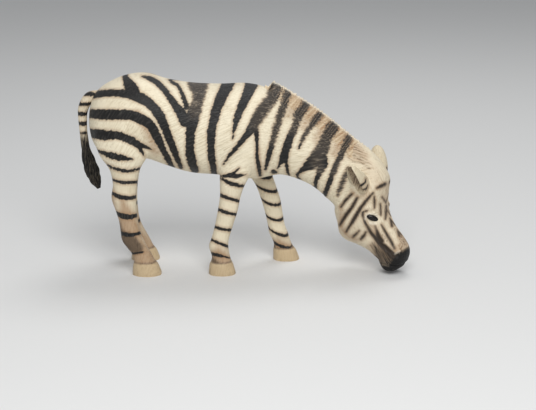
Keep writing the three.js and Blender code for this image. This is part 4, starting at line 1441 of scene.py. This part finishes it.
turn = -math.degrees(HEAD_TURN)
rump_lay = (58, 0, HAIR_PITCH, WAVY, "steep")
neck_lay = (8, 0, HAIR_PITCH, WAVY, "level")
nape_lay = (8, 0, HAIR_PITCH, WAVY, "nape")
forelock_lay = (-36, 0, 1.3 * HAIR_PITCH, STRAIGHT, "forelock")
face_lay = (-62, turn, FINE_PITCH, WAVY)
hatch_lay = (52, turn, 1.4 * HAIR_PITCH, WAVY, "hatch")
hide_lays = [(24, 0, HAIR_PITCH, WAVY), rump_lay, neck_lay, forelock_lay]
face_lays = [face_lay, nape_lay, forelock_lay, hatch_lay]
ear_lays = [(70, turn, FINE_PITCH, WAVY)]
mane_lays = [(35, 0, FINE_PITCH, STRAIGHT)]
leg_lays = [(86, 0, HAIR_PITCH, WAVY)]
tail_lays = [(88, 0, FINE_PITCH, WAVY)]
coats = {
    "striped_hide": coat("striped_hide", hide_lays),
    "face": coat("painted_face", face_lays, pigment=INK_FACE, fray=FINE_FRAY_MM, edge=FACE_EDGE_MM),
    "ear": coat("painted_ear", ear_lays, base=EAR_CREAM),
    "mane": coat("tan_mane", mane_lays, base=MANE_TAN),
    "banded_leg": coat("banded_leg", leg_lays, fray=FINE_FRAY_MM, grain=LEG_GRAIN),
    "tail": coat("dark_tail", tail_lays),
}
print("coats:", sorted(coats))

# %% [markdown]
# ## Put the pieces in the frame
# The meshes are still in the figure's millimetres. Moved and scaled to the frame, each piece rides on the
# one rigid body, takes its finish from a slot, and stands for its CAD moulding.

# %% Pieces
SLOTS = {"head": "face", "right_eye": "face", "left_eye": "face", "mane": "mane", "tail": "tail"}
SLOTS.update(dict.fromkeys(EARS, "ear"))
SLOTS.update(dict.fromkeys(limb_grids, "banded_leg"))
SLOTS.update(dict.fromkeys(["right_trunk_shell", "left_trunk_shell"], "striped_hide"))
eye_coat = eye_gloss()
for name, mesh in meshes.items():
    mesh.vertices.foreach_set("co", ((points_of(mesh) + frame_shift) / 1000).ravel())
    mesh.update()
    piece = bpy.data.objects.new(mesh.name, mesh)
    bpy.context.collection.objects.link(piece)
    mesh.materials.append(eye_coat if name.endswith("eye") else coats[SLOTS[name]])
    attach(piece, "root")
    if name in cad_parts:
        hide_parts(name)
print("pieces:", sorted(mesh.name for mesh in meshes.values()))

# %% [markdown]
# ## Light, floor and camera
# A pale floor, an even grey-white surround, one large soft lamp above the camera and a weaker one from
# behind. The camera uses the numbers of the first cells: its lens is the sensor's width times the distance
# over the width that it sees.

# %% Floor and light
FLOOR_HALF = 3.0
FLOOR_GREY = (0.72, 0.72, 0.71, 1)
FLOOR_ROUGHNESS = 0.8
SURROUND = (0.95, 0.97, 1.0, 1)
SURROUND_STRENGTH = 0.38
LAMP_AIM = np.array([0, 0, 0.05])
LAMPS = {
    # place, side of its square, power, in metres and watts
    "key": ((0.06, -0.58, 0.56), 0.5, 4.5),
    "top": ((0.15, 0.35, 0.8), 0.4, 1.9),
}

floor_corners = FLOOR_HALF * np.array([(-1, -1, 0), (1, -1, 0), (1, 1, 0), (-1, 1, 0)], float)
floor = bpy.data.objects.new("floor", new_mesh("floor", floor_corners, [[0, 1, 2, 3]]))
bpy.context.collection.objects.link(floor)
floor_coat = bpy.data.materials.new("pale_floor")
floor_coat.use_nodes = True
floor_shader = floor_coat.node_tree.nodes["Principled BSDF"]
floor_shader.inputs["Base Color"].default_value = FLOOR_GREY
floor_shader.inputs["Roughness"].default_value = FLOOR_ROUGHNESS
floor.data.materials.append(floor_coat)

scene = bpy.context.scene
scene.view_settings.view_transform = "Standard"
scene.world = bpy.data.worlds.new("studio")
scene.world.use_nodes = True
surround = scene.world.node_tree.nodes["Background"]
surround.inputs["Color"].default_value = SURROUND
surround.inputs["Strength"].default_value = SURROUND_STRENGTH


def lamp(name, place, size, power):
    """A square soft lamp that faces the figure: tilted by its angle from upright, turned by its bearing."""
    light = bpy.data.lights.new(name, "AREA")
    light.energy = power
    light.size = size
    holder = bpy.data.objects.new(name, light)
    x, y, z = np.array(place) - LAMP_AIM
    holder.location = place
    holder.rotation_euler = (math.atan2(math.hypot(x, y), z), 0, math.atan2(x, -y))
    bpy.context.collection.objects.link(holder)


for name, settings in LAMPS.items():
    lamp(name, *settings)
print("lamps:", sorted(LAMPS))

# %% Camera in the scene
view = bpy.data.cameras.new("view")
view.sensor_width = SENSOR_WIDTH
view.lens = SENSOR_WIDTH * CAMERA_DISTANCE / (PICTURE_SIZE[0] * PIXEL_MM)
camera = bpy.data.objects.new("view", view)
camera.location = (camera_place + frame_shift) / 1000
camera.rotation_euler = (math.pi / 2 - CAMERA_ELEVATION, 0, 0)
bpy.context.collection.objects.link(camera)
scene.camera = camera
print("lens", round(view.lens, 1), "mm")
